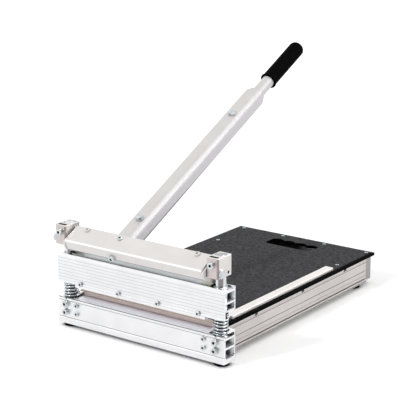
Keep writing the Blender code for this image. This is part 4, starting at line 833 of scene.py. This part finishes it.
# %% [markdown]
# Each spring stands on a washer and carries the beam, so when the carriage slides its lower end
# stays and its upper end follows. Here each is wound once, between the washer and the beam at rest.

# %% Wind the two springs
SPRING_LOW, SPRING_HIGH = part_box("return_spring_left")[0].z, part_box("return_spring_left")[1].z
for side, hand in (("left", -1.0), ("right", 1.0)):
    foot = Vector((POSTS[side].x, POSTS[side].y, SPRING_LOW + WIRE))
    name = "wound_spring_" + side
    spring = baked(in_scene(name, bpy.data.meshes.new(name)), spring_tree, {
        "Rise": SPRING_HIGH - SPRING_LOW - 2 * WIRE,
        "Hand": hand,
        "Place": foot,
        "Material": ZINC,
    })
    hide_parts("return_spring_" + side)
    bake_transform(spring)
print("springs from", round(SPRING_LOW, 4), "to", round(SPRING_HIGH, 4))

# %% [markdown]
# The grip is a moulded rubber sleeve with a flared collar at its mouth, a domed tip and shallow
# flutes. Its axis and length come from the CAD grip, so the finer one takes exactly its place.

# %% The axis of the grip
grip_low, grip_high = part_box("handle_grip")
GRIP_START, GRIP_END = span("handle_grip", ALONG)
GRIP_LENGTH = GRIP_END - GRIP_START
AXIS_HEIGHT = sum(span("handle_grip", ACROSS)) / 2
GRIP_X = (grip_low.x + grip_high.x) / 2
MOUTH = ALONG * GRIP_START + ACROSS * AXIS_HEIGHT + Vector((GRIP_X, 0.0, 0.0))
print("grip from", [round(v, 4) for v in MOUTH], "length", round(GRIP_LENGTH, 4))

# %% [markdown]
# The sleeve is turned in mesh code: rings of points from the bore, round the mouth, along the
# outside and over the dome, joined by quads. The long straight stretch is cut into short ones, so
# that the flutes have points to fade on. The CAD grip is a solid of flat facets, so the round one
# is 1.5 per cent slimmer and stays inside it.

# %% Turn the sleeve
PROFILE = (  # millimetres along the axis from the mouth, and the radius there
    (0.0, 16.6), (0.4, 17.9), (0.9, 18.4), (2.6, 18.5), (3.6, 18.1), (4.6, 17.2), (6.0, 17.0),
    (119.5, 17.0), (122.5, 16.7), (125.5, 15.6), (128.0, 13.7), (130.0, 11.0), (131.3, 7.4),
    (131.9, 3.6), (132.0, 0.05),
)
STEPS = 160
BORE, BORE_END = 13.70, 124.0
RING_STEP = 2.0
ROUND_INSIDE_FACETS = 0.985

rings = [(BORE_END, 0.05), (BORE_END, BORE), (60.0, BORE), (1.0, BORE), (0.0, BORE + 0.6),
         (0.0, 16.0)]
for (z0, r0), (z1, r1) in zip(PROFILE, PROFILE[1:]):
    parts = max(1, round((z1 - z0) / RING_STEP))
    rings += [(z0 + (z1 - z0) * i / parts, r0 + (r1 - r0) * i / parts) for i in range(parts)]
rings.append(PROFILE[-1])
scale = GRIP_LENGTH / (PROFILE[-1][0] * MM)
rings = [(z * MM * scale, r * MM * ROUND_INSIDE_FACETS) for z, r in rings]
turns = [2 * math.pi * i / STEPS for i in range(STEPS)]
points = [(r * math.cos(turn), r * math.sin(turn), z) for z, r in rings for turn in turns]
faces = [
    (k * STEPS + i, k * STEPS + (i + 1) % STEPS, (k + 1) * STEPS + (i + 1) % STEPS,
     (k + 1) * STEPS + i)
    for k in range(len(rings) - 1) for i in range(STEPS)
]
last_ring = (len(rings) - 1) * STEPS
faces += [tuple(range(STEPS))[::-1], tuple(range(last_ring, last_ring + STEPS))]
sleeve = bpy.data.meshes.new("fluted_grip")
sleeve.from_pydata(points, [], faces)
print("sleeve", len(rings), "rings of", STEPS, "points")

# %% [markdown]
# The flutes could be modelled one by one, but a tree pushes points inwards by a wave round the axis
# instead, and its inputs set their number and depth. The push rises after the collar and falls
# before the dome, so that each flute fades out at both ends.

# %% How deep the flutes go
FLUTE_RISE, FLUTE_FALL = 4 * MM, 5 * MM


def flute_depth(tree, here, given):
    """The depth of the flutes at a point, from the inputs of the grip's tree."""
    turn = add(tree, "ShaderNodeMath", {"operation": "ARCTAN2"}, _0=here["Y"], _1=here["X"])
    many = add(tree, "ShaderNodeMath", {"operation": "MULTIPLY"}, _0=turn.outputs[0],
               _1=given["Flutes"])
    wave = add(tree, "ShaderNodeMath", {"operation": "COSINE"}, _0=many.outputs[0])
    inward = add(tree, "ShaderNodeMapRange", {"interpolation_type": "SMOOTHSTEP"},
                 Value=wave.outputs[0], From_Min=0.1, From_Max=1.0).outputs[0]
    ends = []
    for start, length, before, after in ((given["Flute Start"], FLUTE_RISE, 0.0, 1.0),
                                         (given["Flute End"], FLUTE_FALL, 1.0, 0.0)):
        end = add(tree, "ShaderNodeMath", {"operation": "ADD"}, _0=start, _1=length).outputs[0]
        ends.append(add(tree, "ShaderNodeMapRange", {"interpolation_type": "SMOOTHSTEP"},
                        Value=here["Z"], From_Min=start, From_Max=end, To_Min=before,
                        To_Max=after).outputs[0])
    depth = given["Flute Depth"]
    for share in (inward, *ends):
        depth = add(tree, "ShaderNodeMath", {"operation": "MULTIPLY"}, _0=share,
                    _1=depth).outputs[0]
    return depth


print("flutes rise over", FLUTE_RISE, "and fall over", FLUTE_FALL)

# %% [markdown]
# The tree moves every point towards the axis by that depth. It runs while the sleeve stands
# upright at the origin, and the finished grip is then tilted and moved onto the handle's tube.

# %% Flute the grip and set it on the handle
def grip_tree():
    tree = growing_tree("moulded_fluted_grip", [
        ("Sleeve", "Geometry", None), ("Flutes", "Float", 20.0),
        ("Flute Depth", "Float", 0.5 * MM), ("Flute Start", "Float", 10 * MM),
        ("Flute End", "Float", 114 * MM), ("Material", "Material", None),
    ])
    given = add(tree, "NodeGroupInput").outputs
    here = add(tree, "ShaderNodeSeparateXYZ", None,
               Vector=add(tree, "GeometryNodeInputPosition").outputs[0]).outputs
    flat = add(tree, "ShaderNodeCombineXYZ", None, X=here["X"], Y=here["Y"], Z=0.0)
    out = add(tree, "ShaderNodeVectorMath", {"operation": "NORMALIZE"}, _0=flat.outputs[0])
    push = add(tree, "ShaderNodeVectorMath", {"operation": "SCALE"}, _0=out.outputs[0],
               Scale=flute_depth(tree, here, given))
    back = add(tree, "ShaderNodeVectorMath", {"operation": "MULTIPLY"}, _0=push.outputs[0],
               _1=(-1.0, -1.0, 0.0))
    fluted = add(tree, "GeometryNodeSetPosition", None, Geometry=given["Sleeve"],
                 Offset=back.outputs[0])
    shown(tree, fluted.outputs[0], given["Material"])
    return tree


grip = baked(in_scene("fluted_grip", sleeve), grip_tree(), {"Material": RUBBER})
leaning = Matrix.Rotation(HANDLE_TILT - math.pi / 2, 4, "X")
grip.data.transform(Matrix.Translation(MOUTH) @ leaning)
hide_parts("handle_grip")
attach(grip, "lever")
print("grip set on the handle")

# %% [markdown]
# The floor and the backdrop are one pale sheet of paper, as on a product table. Close to the object
# it takes the shadow, and the dark line right under the beam and the feet is painted shade. It
# glows a little for the camera, more so farther out, and so melts into the white room.

# %% Paper floor
def sheet(name, corners):
    """A flat sheet with four corners, in the scene."""
    mesh = bpy.data.meshes.new(name)
    mesh.from_pydata(corners, [], [(0, 1, 2, 3)])
    return in_scene(name, mesh)


WHITE = (1.0, 1.0, 1.0, 1.0)
FLOOR = 6.0
CORNERS = ((-FLOOR, -FLOOR, 0), (FLOOR, -FLOOR, 0), (FLOOR, FLOOR, 0), (-FLOOR, FLOOR, 0))
floor = sheet("floor", CORNERS)
paper, tree, shader = new_material("white_paper_floor")
fibre = toned(tree, speckle(tree, 3 * MM, 2.0), "FCFCFC", "FFFFFF")
# Painted shade right under the beam and the feet.
painted_contact_shade = gap_shade_mask(tree, 12 * MM, 0.50, 0.12, 0.85)
tree.links.new(coated(tree, fibre, [(painted_contact_shade, "2C2C30")]), shader.inputs["Base Color"])
shader.inputs["Roughness"].default_value = 0.95
shader.inputs["Specular IOR Level"].default_value = 0.0
shader.inputs["Emission Color"].default_value = WHITE
away = add(tree, "ShaderNodeVectorMath", {"operation": "LENGTH"},
           _0=add(tree, "ShaderNodeTexCoord").outputs["Object"]).outputs["Value"]
glow = add(tree, "ShaderNodeMapRange", None, Value=away, From_Min=0.5, From_Max=1.8, To_Min=0.11,
           To_Max=0.35).outputs["Result"]
seen = add(tree, "ShaderNodeLightPath").outputs["Is Camera Ray"]
uncovered = add(tree, "ShaderNodeMath", {"operation": "SUBTRACT"}, _0=1.0, _1=painted_contact_shade).outputs[0]
for share in (seen, uncovered):
    glow = add(tree, "ShaderNodeMath", {"operation": "MULTIPLY"}, _0=glow, _1=share).outputs[0]
tree.links.new(glow, shader.inputs["Emission Strength"])
floor.data.materials.append(paper)
print("floor", 2 * FLOOR, "m wide")

# %% [markdown]
# Bare metal shows what it mirrors, so a room that is white all round leaves it flat. A dark cloth
# behind the camera, as the unlit side of a studio, gives screws and posts their dark streaks. It
# is seen by reflections alone, so it throws no shadow.

# %% Dark cloth behind the camera
wall = sheet("dark_studio_wall", [(1.1, -3.6, 0.0), (3.0, -2.3, 0.0), (3.0, -2.3, 2.2),
                                  (1.1, -3.6, 2.2)])
cloth, tree, shader = new_material("dark_studio_cloth")
shader.inputs["Base Color"].default_value = linear("2A2A2C")
shader.inputs["Roughness"].default_value = 1.0
wall.data.materials.append(cloth)
wall.visible_camera = wall.visible_diffuse = wall.visible_shadow = False
print("dark cloth", [round(v, 2) for v in wall.dimensions], "m")

# %% [markdown]
# The rounded corner of the arm mirrors a small part of the room, high up behind the tool. A card
# of glowing paper hangs there and gives the bright band of the photograph. It dims along its
# length and towards its upper edge, so the band softens towards the grip.

# %% Glowing card for the arm's corner
CARD_GLOW, CARD_FAR_SHARE = 17.0, 0.15
card = sheet("arm_bend_card", [(0.32, -0.31, 2.12), (0.27, 0.88, 2.40), (1.46, 1.46, 1.24),
                               (1.73, 0.38, 0.74)])
places = card.data.uv_layers.new(name="UVMap")
for loop, place in zip(places.data, ((0, 0), (1, 0), (1, 1), (0, 1))):
    loop.uv = place
card_paper, tree, shader = new_material("arm_bend_card_paper")
spot = add(tree, "ShaderNodeSeparateXYZ", None,
           Vector=add(tree, "ShaderNodeTexCoord").outputs["UV"]).outputs
dim = add(tree, "ShaderNodeMapRange", None, Value=spot["X"], To_Min=1.0,
          To_Max=CARD_FAR_SHARE).outputs["Result"]
glow = add(tree, "ShaderNodeMath", {"operation": "MULTIPLY"}, _0=dim, _1=spot["Y"]).outputs[0]
glow = add(tree, "ShaderNodeMath", {"operation": "MULTIPLY"}, _0=glow, _1=CARD_GLOW).outputs[0]
shader.inputs["Base Color"].default_value = linear("000000")
shader.inputs["Emission Color"].default_value = WHITE
tree.links.new(glow, shader.inputs["Emission Strength"])
card.data.materials.append(card_paper)
card.visible_camera = card.visible_diffuse = card.visible_shadow = False
print("card up to", CARD_GLOW)

# %% [markdown]
# The world is an even white for the camera and for reflections, and a softer white as a light, so
# that the object isn't washed out and still throws a faint shadow.

# %% White room
WORLD_LIGHT = 0.86
world = bpy.data.worlds.new("soft_studio")
bpy.context.scene.world = world
world.use_nodes = True
tree = world.node_tree
path = add(tree, "ShaderNodeLightPath").outputs
seen = path["Is Camera Ray"]
for kind in ("Is Glossy Ray", "Is Transmission Ray"):
    seen = add(tree, "ShaderNodeMath", {"operation": "MAXIMUM"}, _0=seen, _1=path[kind]).outputs[0]
strength = add(tree, "ShaderNodeMapRange", None, Value=seen, To_Min=WORLD_LIGHT)
back = tree.nodes["Background"]
back.inputs["Color"].default_value = WHITE
tree.links.new(strength.outputs["Result"], back.inputs["Strength"])
print("world light", WORLD_LIGHT)

# %% [markdown]
# The photograph's shadow runs backwards and a little to the right, about as long as the object is
# high, so the lamp stands in front, slightly to the left and 42 degrees up. It is weak beside the
# white room, which is why the shadow is faint, and small enough to draw the shadow's edge. A
# second, much weaker panel over the deck slightly lifts the surfaces that look up.

# %% Soft panels
def panel(name, place, aim, size, watts):
    """A flat lamp at a place in metres, turned towards another."""
    light = bpy.data.lights.new(name, "AREA")
    light.shape = "RECTANGLE"
    light.size, light.size_y = size
    light.energy = watts
    lamp = in_scene(name, light)
    lamp.location = place
    lamp.rotation_euler = (Vector(aim) - Vector(place)).to_track_quat("-Z", "Y").to_euler()
    print(name, watts, "W")


panel("key_panel", (-0.78, -2.85, 2.71), (0.0, 0.0, 0.05), (0.26, 0.26), 34)
panel("overhead_panel", (0.1, 1.1, 2.4), (0.0, 0.0, 0.2), (1.3, 0.7), 3)

# %% [markdown]
# The camera stands where the photograph was taken. It looks from 36 degrees to the right of the
# front and 15.6 degrees down, with a long lens, which keeps the far edges nearly parallel. The
# place was solved from straight edges in the photograph.

# %% Camera
CAMERA_PLACE = (1.5940, -2.2760, 0.9778)
CAMERA_DOWN, CAMERA_ROUND = math.radians(15.581), math.radians(35.921)
camera_data = bpy.data.cameras.new("photo_camera")
camera_data.lens, camera_data.sensor_width = 122.98, 36.0
camera_data.clip_start, camera_data.clip_end = 0.05, 40.0
camera = in_scene("photo_camera", camera_data)
camera.location = CAMERA_PLACE
camera.rotation_euler = (math.pi / 2 - CAMERA_DOWN, 0.0, CAMERA_ROUND)
bpy.context.scene.camera = camera
bpy.context.scene.view_settings.view_transform = "Standard"
print("camera at", tuple(round(v, 4) for v in camera.location))
